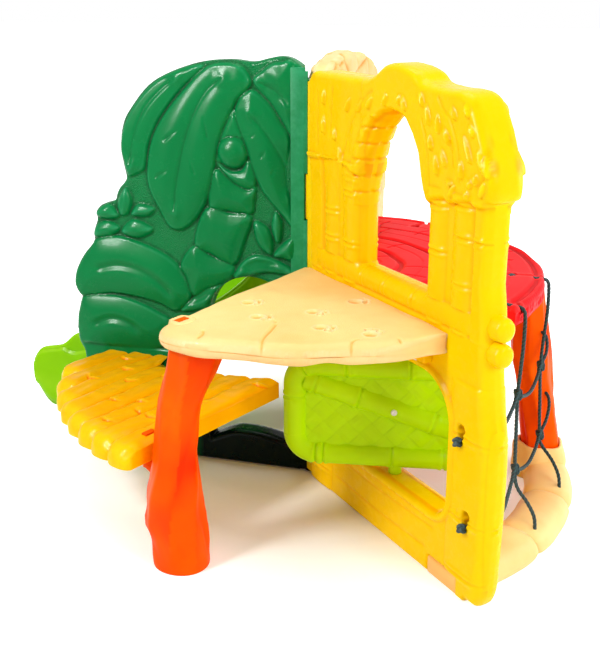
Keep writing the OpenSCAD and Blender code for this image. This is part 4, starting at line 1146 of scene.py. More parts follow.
# %% Arch outlines
ARCH_SIZE = (820, 1220)
pillar_shares = np.array([
    (.97, 0), (.988, .03), (.995, .096), (1, .182), (1, .324), (.98, .397), (.97, .452), (.96, .525),
    (.955, .58), (.942, .633)])
canopy_shares = np.array([
    (.945, .783), (.965, .79), (.968, .82), (.955, .855), (.938, .88), (.908, .92), (.885, .944),
    (.86, .96), (.82, .968), (.75, .968), (.664, .973), (.62, .99), (.55, 1), (.48, .998), (.42, .975),
    (.36, .966), (.2, .966), (.085, .965), (.06, .957)])
arch_outline = np.concatenate([
    [(36, 0), (614.5, 0), (614.5, 45.5), (728.5, 45.5), (728.5, 0)],
    spline(pillar_shares * ARCH_SIZE, 6), spline(canopy_shares * ARCH_SIZE, 6), [(36, 1150)]])
lookout_hole = np.concatenate([
    [(279.5, 705), (556.5, 705)],
    spline([(557, 864), (555, 922), (543, 946), (529, 978), (517, 1019), (494, 1053), (474, 1088),
            (436, 1105), (403, 1103), (347, 1056), (314, 1004), (294, 955), (284, 905), (280, 859)], 5)])
gateway_hole = rounded(158, 172, 678, 520, 60, 105, 12)
KEYHOLES = ((726, 399), (756, 194))


def keyhole(u, z):
    lip = math.degrees(math.asin(7 / 13))
    return np.concatenate([arc(u, z, 7, 180, 360, 8), arc(u, z + 28, 13, -90 + lip, 270 - lip, 16)])


canopy_area = np.concatenate([
    spline([(20, 946), (97, 951), (139, 957), (181, 961), (222, 953), (254, 941), (285, 925)], 4),
    [(300, 1010), (345, 1080), (418, 1112), (480, 1096), (530, 1030)],
    spline([(556, 915), (590, 932), (628, 941), (649, 935), (678, 943), (717, 950), (750, 942),
            (800, 955), (840, 948)], 4),
    [(850, 1260), (20, 1260)]])
# tip and foot of each raised drop
DROPS = [
    ((120, 1140), (121, 1108)), ((117, 1078), (122, 1035)), ((170, 1048), (178, 1020)),
    ((196, 1004), (211, 962)), ((154, 958), (166, 940)), ((409, 1154), (403, 1128)),
    ((458, 1156), (461, 1138)), ((472, 1154), (483, 1128)), ((345, 1094), (374, 1090)),
    ((563, 1146), (576, 1110)), ((578, 1082), (588, 1054)), ((631, 1102), (647, 1074)),
    ((620, 1056), (640, 1025)), ((700, 1159), (711, 1138)), ((742, 1148), (754, 1122)),
    ((716, 1120), (730, 1099)), ((696, 1096), (722, 1050)), ((690, 1040), (699, 1010)),
    ((746, 1070), (766, 1032)), ((768, 1058), (778, 1024)), ((741, 1018), (749, 1000)),
    ((770, 1008), (766, 980)), ((724, 1004), (731, 990)), ((646, 988), (664, 982)),
    ((678, 985), (667, 960)), ((606, 1130), (612, 1096)), ((655, 1150), (668, 1128)),
    ((600, 1040), (612, 1004)), ((250, 1130), (236, 1100)), ((300, 1130), (286, 1104)),
    ((540, 1170), (550, 1144)), ((350, 1140), (338, 1116)), ((715, 980), (722, 962))]
STRANDS = [
    [(598, 1172), (624, 1139), (651, 1119), (674, 1073), (686, 1025), (692, 980)],
    [(644, 1092), (655, 1063), (668, 1008)],
    [(250, 1077), (228, 1021), (213, 968)],
    [(359, 1155), (323, 1140), (273, 1096), (243, 1039), (237, 980)],
    [(540, 1120), (566, 1060), (580, 990), (584, 945)],
    [(756, 1130), (764, 1085), (772, 1040), (762, 985)],
    [(160, 1150), (152, 1090), (150, 1010)],
    [(86, 1140), (84, 1060), (86, 980)]]
COLUMNS = (142.7, 233.9, 602.1, 693.3)
COLUMN_JOINTS = ((824, 751), (925, 887, 752), (923, 819), (937, 867, 760))
JAMB_RINGS = (1062, 1020, 978, 935, 893)
PILLAR_JOINTS = (62, 207, 412)
SILL_JOINTS = (300, 400, 520)
print(len(DROPS), "drops and", len(STRANDS), "strands")

# %% [markdown]
# Three small forms come back all over this wall: drops on the thatch, the ringed joints of bamboo, and the
# rolls beside the lookout. They could be placed as instances, but instances don't melt into a face. Each is
# a height over the wall instead, like a leaf.

# %% Arch details
def drop(q, tip, foot, half=9.5, height=10.0):
    """Raised drop: pointed at its tip and round at its foot."""
    tip, foot = np.array(tip, float), np.array(foot, float)
    length = np.linalg.norm(foot - tip) * 1.3
    way = (foot - tip) / np.linalg.norm(foot - tip)
    along = (q - tip) @ way / length
    across = (q - tip) @ np.array([-way[1], way[0]])
    t = np.clip(along, 0, 1)
    width = half * 1.55 * t ** 0.75 * np.sqrt(np.maximum(1 - t, 0)) + 0.01
    mark = np.clip(1 - (across / width) ** 2, 0, 1) * (along > 0) * (along < 1)
    return height * np.sqrt(mark) * np.sqrt(np.clip(t * 2, 0, 1))


def joint(along, spots):
    """Joint of bamboo: a fine line between two swellings."""
    rise = np.zeros(len(along))
    for at in spots:
        d = np.abs(along - at)
        rise += 3.4 * np.exp(-((d - 7) / 4.5) ** 2) - 2.6 * np.exp(-(d / 2.4) ** 2)
    return rise


def jamb(q):
    """Near the left edge of the lookout, where its rolls show."""
    near = (np.abs(q[:, 0] - 330) < 75) & (q[:, 1] > 860) & (q[:, 1] < 1100)
    return near * smooth((46 - reach(lookout_hole, q)[0]) / 12)


print("joint at its swelling:", joint(np.array([7.0]), (0,)).round(1).tolist(), "mm")

# %% [markdown]
# From the floor up there are two round posts, a bead round the gateway, a rail, the columns, a sill and the
# thatch. Each could be a mesh of its own, but the mould makes one skin. So each takes over the height where
# it lies, and the thatch comes last because it hangs over the rest.

# %% Arch relief
def gateway_rise(q):
    """Two round posts, the bead round the gateway and the rail below it."""
    u, z = q[:, 0], q[:, 1]
    rise = np.zeros(len(q))
    for centre, half in ((97, 61), (745, 67)):
        post = np.clip(1 - ((u - centre) / half) ** 2, 0, 1)
        bamboo = 8 * np.sqrt(post) - 3 + joint(z, PILLAR_JOINTS) * np.sqrt(post)
        rise = np.where((z < 545) & (post > 0), bamboo, rise)
    far = reach(gateway_hole, q)[0]
    bead = np.clip(1 - ((far - 11) / 11) ** 2, 0, 1)
    rise = np.where(bead > 0, np.maximum(rise * smooth((far - 18) / 8), 8 * np.sqrt(bead)), rise)
    rail = (z < 172) & (u > 158) & (u < 640)
    rise = np.where(rail, rise - furrow(q, [(170, 128), (400, 120), (640, 128)], 5, 3.5), rise)
    return np.where(rail, rise - furrow(q, [(170, 62), (400, 56), (610, 62)], 5, 3.5), rise)


def lookout_rise(q, rise):
    """The columns, which swell under the thatch, and the sill of the lookout."""
    u, z = q[:, 0], q[:, 1]
    tall = (z > 646) & (z < 965)
    column = np.full(len(q), -4.0)
    for centre, spots in zip(COLUMNS, COLUMN_JOINTS):
        half = 0.55 * np.sqrt(np.maximum(42 ** 2 - (u - centre) ** 2, 0)) - 17
        ring = joint(z, spots) * np.sqrt(np.clip(1 - ((u - centre) / 42) ** 2, 0, 1))
        column = np.maximum(column, half + ring)
    edge_post = np.where(u > 735, 2.0 + joint(z, (867,)), np.where(u < 100, 3.0, -4.0))
    column = np.maximum(column, edge_post)
    swell = 6 * smooth((z - 850) / 100) * (u < 290)
    rise = np.where(tall, np.maximum(column, swell + np.minimum(column, 2)), rise)
    sill = np.clip(1 - ((z - 680) / 27) ** 2, 0, 1)
    bar = 8 * np.sqrt(sill) - 3 + joint(u, SILL_JOINTS) * sill
    rise = np.where((sill > 0) & (u > 75) & (u < 735), bar, rise)
    return rise * smooth((np.abs(z - 594) - 51) / 5)


def thatch_rise(q, rise):
    """The canopy with its drops, strands and soft folds."""
    roof = puff(q, canopy_area, 14, 15, 2)
    roof *= np.where(q[:, 0] < 300, 0.8, 1.0)
    top = roof > 6
    for tip, foot in DROPS:
        roof += drop(q, tip, foot) * top
    for line in STRANDS:
        roof -= furrow(q, line, 4.6, 3.4) * top
    folds = noise(q * (1.0, 0.22), 30, 3) + noise(q, 70, 5) * 1.2
    return np.where(roof > 0.2, np.maximum(rise, 0) + roof + folds * top, rise)


def arch_face(q, rim):
    rise = thatch_rise(q, lookout_rise(q, gateway_rise(q)))
    rings = sum(np.exp(-((q[:, 1] - at) / 3.6) ** 2) for at in JAMB_RINGS)
    return rise + jamb(q) * (2.5 - 7.5 * rings), np.zeros(len(q))


print("post of the gateway rises", gateway_rise(np.array([(97.0, 300.0)])).round(1).tolist(), "mm")

# %% [markdown]
# The wall is the carved slab with its knuckles, the strips over them, two cleats that carry the decks and two
# log ends at its free edge. They could be objects of their own, but on the real gym they are one moulding,
# so they go into one Piece. The slab's edge is rounder at the posts than at the bead and the keyholes.

# %% Arch wall
def arch_edge(q):
    u, z = q[:, 0], q[:, 1]
    r = np.where(z > 930, 17.0, np.where(z < 640, 27.0, 20.0))
    r = np.where(reach(gateway_hole, q)[0] < 42, 11.0, r)
    r = np.where((u > 245) & (u < 590) & (z > 672) & (z < 1112), 26.0, r)
    for ku, kz in KEYHOLES:
        r = np.where((np.abs(u - ku) < 32) & (np.abs(z - kz - 14) < 50), 4.0, r)
    return np.where((u < 75) | ((z < 72) & (u < 760)), 9.0, r)


def arch_side(q, w):
    rings = sum(np.exp(-((q[:, 1] - at) / 4.0) ** 2) for at in JAMB_RINGS)
    notches = joint(q[:, 1], PILLAR_JOINTS[1:]) * (q[:, 0] > 770)
    return notches - 4.5 * rings * ((q[:, 0] > 270) & (q[:, 0] < 380))


arch = Piece()
ARCH = upright(-45)
arch_holes = [lookout_hole, gateway_hole] + [keyhole(u, z) for u, z in KEYHOLES]
moulded(arch, arch_outline, arch_holes, WALL_HALF, arch_edge, arch_face, arch_face, ARCH, 3.2, 6, arch_side)
knuckles(arch, (1, 4, 7), ARCH)
corner_lip(arch, 1, [(12, 1146)], ARCH)
corner_lip(arch, 1, [(769, 895)], ARCH, 6.0, 20)
prism(arch, 131, 34, 549, 606, 61, 584.5, lambda u, w, z: ARCH(u, z, w), 5)
prism(arch, 131, -61, 549, 409, -34, 584.5, lambda u, w, z: ARCH(u, z, w), 5)
LOG_END = [(10, 747), (27, 747), (28, 780), (29.5, 786), (29.5, 796),
           (28, 800), (28, 808), (25, 815), (17, 819), (6, 820)]
for log_z in (684, 625):
    lathe(arch, LOG_END, lambda x, y, s: ARCH(s, log_z + x, 0.92 * y))
arch.object("arch_wall", YELLOW, "frame", ["arch_wall"])

# %% [markdown]
# The tan wall is piled rock, with the doorway to the slide and a den below it. A Voronoi texture could
# displace its face, but then the edge round the doorway would tear. The heights do what that texture does:
# points thrown over the wall each own the ground nearest to them, and it dips where two owners meet.

# %% Rock wall
rock_shares = np.array([
    (1, 0), (1, .3), (.985, .45), (1, .6), (.985, .74), (.93, .85), (.80, .918), (.723, .954),
    (.561, .987), (.44, .985), (.367, 1), (.222, .994), (.112, .983), (.07, .977)])
rock_outline = np.concatenate([[(36, 0)], spline(rock_shares * (830, 1207), 6), [(36, 1165)]])
door_hole = rounded(224.5, 606, 575.5, 1060, 0.2, 174.5, 14)
den_hole = rounded(200, 85, 600, 509, 40, 120, 12)


def boulders(q, pitch, seed):
    """How far each point lies inside its own boulder."""
    columns, rows = np.meshgrid(np.arange(-1, 9), np.arange(-1, 12), indexing="ij")
    spots = (np.stack([columns, rows], -1).reshape(-1, 2) + 0.5) * pitch
    spots += 0.36 * pitch * np.stack([noise(spots, 31, seed), noise(spots, 29, seed + 5)], 1)
    first, second = np.full(len(q), 1e9), np.full(len(q), 1e9)
    for spot in spots:
        d = np.hypot(q[:, 0] - spot[0], (q[:, 1] - spot[1]) * 1.25)
        second = np.minimum(second, np.maximum(first, d))
        first = np.minimum(first, d)
    return second - first


def rock_face(q, rim):
    apart = boulders(q, 128, 4)
    rise = 13 * np.sqrt(np.clip(apart / 55, 0, 1)) - 8 + 2.2 * noise(q, 40, 2) + 1.1 * noise(q, 15, 9)
    calm = smooth((np.abs(q[:, 1] - 615) - 75) / 12)
    return rise * calm, 0.5 * np.ones(len(q))


rock = Piece()
ROCK = upright(90)
moulded(rock, rock_outline, [door_hole, den_hole], WALL_HALF, 20, rock_face, rock_face, ROCK, 5.0, 4)
knuckles(rock, (2, 6), ROCK)
prism(rock, 83, 34, 549, 581, 61, 585, lambda u, w, z: ROCK(u, z, w), 5)
rock.object("rock_wall", TAN, "frame", ["rock_wall"])

# %% [markdown]
# The red deck is part of a cut tree stump, in the corner between the tan and the yellow wall. A disc could be
# cut by both walls, but then its rim would be smooth. So its outline is a sweep of directions with a rippled
# radius, and lists give its growth rings, its cracks and the slots that let ropes down over the edge.

# %% Stump outline
DECK_MID, DECK_HALF = 612.5, 27.5
STUMP_R = 635


def stump_rim(a):
    return STUMP_R - 2 * (1 + np.sin(np.radians(22 * a)))


sweep_a = np.linspace(-24.5, 86.8, 200)
rim_way = np.radians(sweep_a)
stump_outline = np.concatenate([
    [(35.5, 14.7), on_wall(-45, 469.9, -35.5), polar(520, -24.5)],
    stump_rim(sweep_a)[:, None] * np.stack([np.cos(rim_way), np.sin(rim_way)], 1)])
ROPE_SLOTS = (-21.8, 3.1, 68.8)
SLOT_START, SLOT_STOP = 545, 660
# radius, half width and depth of the growth rings
RINGS = ((120, 5, 4), (240, 10, 8), (350, 10, 8), (470, 5, 4), (606, 10, 8),
         (180, 2.4, 1.6), (300, 2.4, 1.8), (415, 2.4, 1.6), (540, 2.4, 1.8))
# direction, start and end of the cracks between them
CRACKS = [
    (-8, 380, 470), (27, 520, 590), (40, 400, 560), (52, 270, 335), (61, 450, 520), (33, 150, 225),
    (74, 380, 460), (18, 480, 560), (-12, 260, 330), (79, 470, 560), (5, 255, 330), (46, 60, 200)]
print(len(RINGS), "rings,", len(CRACKS), "cracks,", len(ROPE_SLOTS), "rope slots")

# %% [markdown]
# Growth rings and cracks cover the top, and bark goes round the rim. The rings could be turned like those of
# a bowl, but real ones wander. So each is a groove in the heights, noise pushes its radius about, and the
# bark pushes the side faces of the slab in and out.

# %% Stump deck
def stump_top(q, rim):
    r = np.hypot(q[:, 0], q[:, 1])
    a = np.degrees(np.arctan2(q[:, 1], q[:, 0]))
    wander = r + 5 * noise(np.column_stack([a * 3, r]), 45, 1) + 3 * noise(q, 60, 6)
    rise = np.zeros(len(q))
    for ring, width, depth in RINGS:
        rise -= depth * np.exp(-((wander - ring) / width) ** 4)
    for way, start, stop in CRACKS:
        crack = np.array([polar(start, way), polar((start + stop) / 2, way + 1.2), polar(stop, way)])
        rise -= 4.0 * np.exp(-(reach(crack, q, False)[0] / 2.6) ** 2)
    for way in ROPE_SLOTS:
        slot = np.array([polar(SLOT_START, way), polar(SLOT_STOP, way)])
        rise = np.where(reach(slot, q, False)[0] < 7.2, np.minimum(rise, -20), rise)
        d = np.hypot(q[:, 0] - slot[0, 0], q[:, 1] - slot[0, 1])
        rise = np.where(d < 14.5, np.minimum(rise, -25), rise)
    return rise + 0.8 * noise(q, 90, 8), np.zeros(len(q))


def bark(q, w):
    r = np.hypot(q[:, 0], q[:, 1])
    a = np.degrees(np.arctan2(q[:, 1], q[:, 0]))
    broad = noise(np.column_stack([a * 11, w * 0.45]), 24, 2)
    fine = noise(np.column_stack([a * 11, w]), 11, 3)
    return np.where(r > 560, 4.0 * broad + 2.0 * fine - 1.5, 0)


def stump_edge(q):
    return np.where(np.hypot(q[:, 0], q[:, 1]) > 560, 14.0, 4.0)


stump = Piece()
moulded(stump, stump_outline, [], DECK_HALF, stump_edge, stump_top, plain_face, level_at(DECK_MID),
        3.2, 10, bark)
stump.object("stump_deck", RED, "frame", ["stump_deck"])

# %% [markdown]
# The tan ledge in front is a slab of rock with a wavy rim. Its outline could be traced point by point, but
# it is a circle about the pole with a ripple, so a formula gives it. A square hole takes the tenon of the
# front trunk, which comes up flush.

# %% Ledge outline
TIP_A, END_A = 256.1, 312.03
ledge_tip = polar(625, TIP_A)
rim_share = np.linspace(0, 1, 70)
rim_r = 685 - 26 * rim_share ** 5 + 4 * np.sin(np.radians(1080 * rim_share))
rim_a = np.radians(TIP_A + (END_A - TIP_A) * rim_share)
ledge_outline = np.concatenate([
    [polar(54, 250.6)],
    arc(ledge_tip[0], ledge_tip[1], 60, 160.6, 256.1, 14),
    np.stack([rim_r * np.cos(rim_a), rim_r * np.sin(rim_a)], 1),
    [on_wall(-45, 659, 35.5), on_wall(-45, 42, 35.5)]])
TENON, TENON_TURN = (-174, -566), 247.5
TENON_CORNERS = ((-17.5, -9), (17.5, -9), (17.5, 9), (-17.5, 9))


def turned(place, angle, x, y):
    c, s = math.cos(math.radians(angle)), math.sin(math.radians(angle))
    return place[0] + x * c - y * s, place[1] + x * s + y * c


tenon_hole = np.array([turned(TENON, TENON_TURN, x, y) for x, y in TENON_CORNERS])
print("ledge outline:", len(ledge_outline), "points")

# %% [markdown]
# Paw marks and cracks are pressed into the ledge. A brush could stamp them; here a paw is four round dents
# with raised rims, placed and turned by one row of a list, so that a paw can be moved by its numbers. The
# rim is well rounded, but the edges along the wall and round the tenon stay crisp.

# %% Ledge deck
# paw marks: place and direction of the toes
PAWS = [(-8, -500, -3), (155, -533, -7), (110, -431, -5), (-64, -402, 16), (277, -556, 83), (190, -330, 30)]
LEDGE_CRACKS = [
    [(47, -520), (48, -573), (51, -638), (62, -690)],
    [(34, -503), (47, -524)],
    [(-96, -672), (-92, -640), (-104, -612)],
    [(252, -640), (246, -604), (262, -580)],
    [(352, -580), (338, -552)]]


def ledge_top(q, rim):
    rise = 2.2 * noise(q, 120, 1) + 1.4 * noise(q, 45, 4)
    for x, y, way in PAWS:
        for along, across, size in ((0, 0, 15), (24, -14, 7.5), (31, 0, 7.5), (25, 14, 7.5)):
            px, py = turned((x, y), way, along, across)
            d = np.hypot(q[:, 0] - px, q[:, 1] - py) / size
            rise += 2.4 * np.exp(-((d - 1.25) / 0.25) ** 2) - 7.0 * smooth((1.15 - d) * 3)
    for line in LEDGE_CRACKS:
        rise -= furrow(q, line, 4, 5.5)
    flush = np.hypot(q[:, 0] - TENON[0], q[:, 1] - TENON[1]) < 30
    return np.where(flush, 0, rise - 1.0), np.full(len(q), 0.25)


def ledge_low(q, rim):
    out = smooth((np.hypot(q[:, 0], q[:, 1]) - 560) / 60)
    a = np.degrees(np.arctan2(q[:, 1], q[:, 0]))
    return out * (6.0 * noise(np.column_stack([a * 11, 0 * a]), 55, 7) - 3.0), np.zeros(len(q))


def ledge_edge(q):
    r = np.hypot(q[:, 0], q[:, 1])
    wall = np.abs(q[:, 0] + q[:, 1]) < 60
    hole = np.hypot(q[:, 0] - TENON[0], q[:, 1] - TENON[1]) < 30
    soft = np.clip((r - 380) / 6, 8, 26)
    soft = np.where(q[:, 0] > 300, np.clip((455 - q[:, 0]) / 6, 5, soft), soft)
    return np.where(hole | wall, 3.0, soft)


def ledge_side(q, w):
    a = np.degrees(np.arctan2(q[:, 1], q[:, 0]))
    lumps = 5 * noise(np.column_stack([a * 11, w]), 55, 7) - 2
    return np.where(np.hypot(q[:, 0], q[:, 1]) > 600, lumps, 0)


ledge = Piece()
moulded(ledge, ledge_outline, [tenon_hole], DECK_HALF, ledge_edge, ledge_top, ledge_low, level_at(DECK_MID),
        3.2, 4, ledge_side)
ledge.object("ledge_deck", TAN, "frame", ["ledge_deck"])

# %% [markdown]
# The raft step is eight logs side by side, with lips of torn bark. Its shape follows from a few lines: the
# circle of the front ends, the cut by the pole and the green wall at the back. Those could be modelled and
# cut by booleans; here each log asks raft_end() how far back it runs, and bark_lips() for its bark.

# %% Raft lines
LOG_R, LOG_PITCH, LOG_MID = 56, 71, 271
RAFT_R = 722
# The front dome's length, and how far back the painted sheen on a log's front end fades.
LOG_DOME, LOG_END_SHEEN = 38, 42
RAFT_AXIS, RAFT_SIDE = np.array(polar(1, 67.5)), np.array(polar(1, 157.5))
RAFT_CUT, RAFT_WALL, RAFT_CORNER = -125, -35.5, -446
TRUNK_NOTCH, NOTCH_R = np.array([-188, -586]), 69
# lips of bark: place of the middle of each
LIPS = [
    (-523, -163), (-478, -242), (-464, -376), (-390, -367), (-360, -428), (-322, -450), (-92, -296),
    (-117, -181), (-590, -250), (-420, -500), (-230, -330), (-300, -240), (-560, -90), (-170, -400),
    (-250, -480), (-390, -180)]


def raft_end(t):
    """Where a line along the logs meets the cut by the pole or the green wall."""
    cut = (RAFT_CUT - t * RAFT_SIDE[1]) / RAFT_AXIS[1]
    wall = (RAFT_WALL - t * RAFT_SIDE[1]) / RAFT_AXIS[1]
    corner = (RAFT_CORNER - t * RAFT_SIDE[0]) / RAFT_AXIS[0]
    before = cut * RAFT_AXIS[0] + t * RAFT_SIDE[0] > RAFT_CORNER
    return np.where(before, cut, np.minimum(corner, wall))


def bark_lips(s, log_t, cross):
    """Lips of torn bark across one ring of a log, and the slits in front of them."""
    lips, slits = np.zeros(len(cross)), np.zeros(len(cross))
    for lip in LIPS:
        lip_s, lip_t = np.dot(lip, RAFT_AXIS), np.dot(lip, RAFT_SIDE)
        if abs(lip_t - log_t) < 36:
            off = cross - lip_t + log_t
            behind = s - lip_s - 0.018 * off ** 2
            step = np.where(behind > 0, np.exp(-behind / 15), np.exp(-(behind / 1.6) ** 2))
            wide = np.exp(-(off / 21) ** 4)
            lips = np.maximum(lips, step * wide)
            slits = np.maximum(slits, 3.5 * np.exp(-((behind + 4.5) / 3.0) ** 2) * wide)
    return lips, slits


print(len(LIPS), "lips of bark on logs of", LOG_R, "mm radius")

# %% [markdown]
# A cylinder with a bark texture would stay smooth at its outline. Each log is laid as rings instead, so
# that ridges, lips and the domed front end are real. Its underside is flat where it lies on the cleats,
# its back end is cut along the wall, and it is pushed aside where the front trunk passes.

# %% Raft step
raft = Piece()
around = np.radians(np.linspace(-4, 184, 44))
bulge = np.sign(np.sin(around)) * np.abs(np.sin(around)) ** 0.5
# Painted shade where a log meets its neighbours.
seam_shade = np.exp(-((np.abs(np.cos(around)) - 0.7) / 0.12) ** 2)
for k in range(8):
    log_t = 3 + LOG_R + LOG_PITCH * k
    front_s = -math.sqrt(RAFT_R ** 2 - log_t * log_t)
    length = float(raft_end(np.array([log_t]))[0]) - front_s
    along = np.concatenate([[0, 1, 3.5, 8, 14, 22, 31, 41, 52], np.arange(58, length, 3.2), [length]])
    rings, carve = [], []
    for s in along:
        dome = math.sqrt(max(1 - (1 - min(s / LOG_DOME, 1)) ** 2, 0.0))
        grain = 1.6 * noise(np.column_stack([around * 40, np.full(len(around), s)]), 26, k)
        ridge = 1.4 * np.sin(7 * around + 1.6 * math.sin(s / 65 + k)) + grain
        lips, slits = bark_lips(front_s + s, log_t, LOG_R * np.cos(around))
        r = LOG_R * (0.12 + 0.88 * dome) + (ridge - 3.0) * dome
        cross = np.clip(r * np.cos(around), -LOG_PITCH / 2 - 5, LOG_PITCH / 2 + 5)
        high = LOG_MID + np.maximum(r * bulge + (6.5 * lips - slits) * dome, -2)
        s_point = front_s + s + (s / length) ** 3 * (raft_end(log_t + cross) - front_s - length)
        flat_at = s_point[:, None] * RAFT_AXIS + (log_t + cross)[:, None] * RAFT_SIDE
        d = np.linalg.norm(flat_at - TRUNK_NOTCH, axis=1)
        push = np.maximum(NOTCH_R / np.maximum(d, 1), 1)
        flat_at = TRUNK_NOTCH + (flat_at - TRUNK_NOTCH) * push[:, None]
        rings.append(np.column_stack([flat_at, high]))
        # Painted sheen on the front end and the lips, painted shade in the slits and where logs meet.
        carve.append(6 * (1 - min(s / LOG_END_SHEEN, 1)) + 4 * lips - 1.6 * slits - 1.6 * seam_shade * dome)
    raft.net(rings, carve=carve)
raft.object("raft_step", AMBER, "frame", ["raft_step"])

# %% [markdown]
# Two trunks carry the decks. A trunk could be sculpted, but its bark is simple: flat planes that wind up it
# and shallow furrows that lean. So rings of different width are laid along a bent line, and every ring is
# pushed in and out by those planes. Each plane is also painted lighter or darker at random, as painted light
# and shade, and the furrows get painted shade.

# %% Trunk form
FACETS = 7


def trunk(piece, stations, seed, swelling=None, sides=72):
    line = spline(stations, 14)
    a = np.linspace(0, 2 * np.pi, sides, endpoint=False)
    rings, carve = [], []
    line[:, 2] = np.maximum(line[:, 2], line[0, 2])
    for x, y, z, r in line:
        rough = smooth((z - line[0][2]) / 60)
        turn = FACETS / 2 * a + 1.1 * math.sin(z / 120 + seed)
        plane = 0.085 * (0.6 - np.abs(np.cos(turn))) * rough + 0.025 * np.cos(3 * a + z / 80 + seed)
        facet = np.floor(turn / np.pi + 0.5) % FACETS
        # Painted light and shade: each plane lighter or darker at random.
        tone = 3.0 * noise(np.column_stack([facet * 9.0, np.full(sides, z * 0.05)]), 7, seed) - 0.5
        grain = 2.6 * noise(np.column_stack([a * 60, np.full(sides, z * 0.35)]), 26, seed)
        furrows = 1.2 * np.exp(-(np.sin(2.5 * a + 1.3 * np.sin(z / 95) + seed) / 0.3) ** 2)
        rr = r * (1 + plane) + (grain - furrows) * rough
        if swelling:
            knob = np.angle(np.exp(1j * (a - math.radians(swelling[0])))) * r
            d = np.hypot(knob, z - swelling[1])
            rr = rr + swelling[2] * np.exp(-(d / 26) ** 2) - 4 * np.exp(-(d / 7) ** 2)
        rings.append(np.column_stack([x + rr * np.cos(a), y + rr * np.sin(a), np.full(sides, z)]))
        # Painted shade in the furrows; the grain gives paler ridges.
        carve.append(0.4 * (grain - 1.2 * furrows) * rough + tone)
    piece.net(rings, carve=carve)


print("each trunk has", FACETS, "planes")

# %% [markdown]
# The front trunk bends, has one knot, a branch under the raft and two square tenons; the right one leans
# and stands in its socket. Both could be one trunk, scaled, but their lines differ, so each has its own
# stations: place and radius from the floor to the deck.

# %% Trunks
FRONT_STATIONS = [
    (-189, -579, 0, 68), (-189, -579, 4, 71), (-193, -579, 60, 71), (-200, -581, 115, 72),
    (-203, -586, 180, 68), (-198, -586, 250, 60), (-192, -586, 330, 54), (-178, -586, 430, 54),
    (-147, -585, 520, 61), (-128, -584, 584.5, 68)]
BRANCH_TENON = (-281, -547)
front_trunk = Piece()
trunk(front_trunk, FRONT_STATIONS, 2, (200, 118, 12))
branch = even(spline([(-190, -584, 170), (-220, -571, 205), (-252, -558, 232), (-279, -548, 246)], 10), 5)
branch_r = np.linspace(32, 19, len(branch))
front_trunk.net(sweep(branch, branch_r, 24, lambda a, s: 1 + 0.06 * np.cos(5 * a + s / 20))[0])
prism(front_trunk, -17, -8.5, 560, 17, 8.5, 640.5, lambda x, y, z: turned(TENON, TENON_TURN, x, y) + (z,),
      1.5)
prism(front_trunk, -17, -8.5, 235, 17, 8.5, 329, lambda x, y, z: turned(BRANCH_TENON, 67.5, x, y) + (z,),
      1.5)
front_trunk.object("front_trunk", ORANGE, "frame", ["front_trunk"])

right_trunk = Piece()
trunk_foot, trunk_top = np.array(polar(666.5, 13.9)), np.array(polar(594, 14.9))
stations = []
for z, r in ((40.5, 52), (100, 53), (200, 52), (300, 53), (365, 57), (450, 53), (530, 51), (584.5, 53)):
    middle = trunk_foot + (trunk_top - trunk_foot) * max(z - 100, 0) / 485
    stations.append((middle[0], middle[1], z, r))
trunk(right_trunk, stations, 5, (250, 345, 8))
right_trunk.object("right_trunk", ORANGE, "frame", ["right_trunk"])

# %% [markdown]
# The slide is a trough that drops in a wave. A plane could be bent by a lattice, but the bed, the rims and
# the underside of a slide fall at different rates. So three lines give their heights along it, and a fourth
# gives the wave at which the side wall steps in.

# %% Slide lines
BED = np.array([
    (-35.5, 640), (-80, 632), (-150, 575), (-300, 405), (-480, 282), (-660, 173), (-800, 104), (-900, 70),
    (-1030, 62)])
RIMS = np.array([
    (-1046, 168), (-1015, 206), (-937, 226), (-884, 268), (-800, 292), (-690, 300), (-600, 352),
    (-500, 392), (-400, 420), (-307, 488), (-240, 560), (-150, 672), (-35.5, 730)])
UNDER = np.array([
    (-35.5, 575), (-120, 530), (-300, 345), (-480, 222), (-660, 113), (-780, 45), (-860, 0), (-985, 0),
    (-1042, 72)])


def height_at(points, x):
    line = spline(points[np.argsort(points[:, 0])], 10)
    return np.interp(x, line[:, 0], line[:, 1])


# the wave along its sides where the wall steps in
WAVE = np.array([
    (-1046, 400), (-940, 230), (-920, 208), (-903, 203), (-885, 202), (-851, 210), (-800, 236),
    (-700, 300), (-600, 420), (-35.5, 900)])
print("slide falls from", BED[0, 1], "to", BED[-1, 1], "mm")

# %% [markdown]
# Its cross-section is the same everywhere: a belly, a step, a round rim and the bed between. A profile could
# be swept down a curve, but a sweep can't pull its parts apart. At each station the section is written
# anew from the four heights and mirrored; at the low end the bed curls up into a lip.

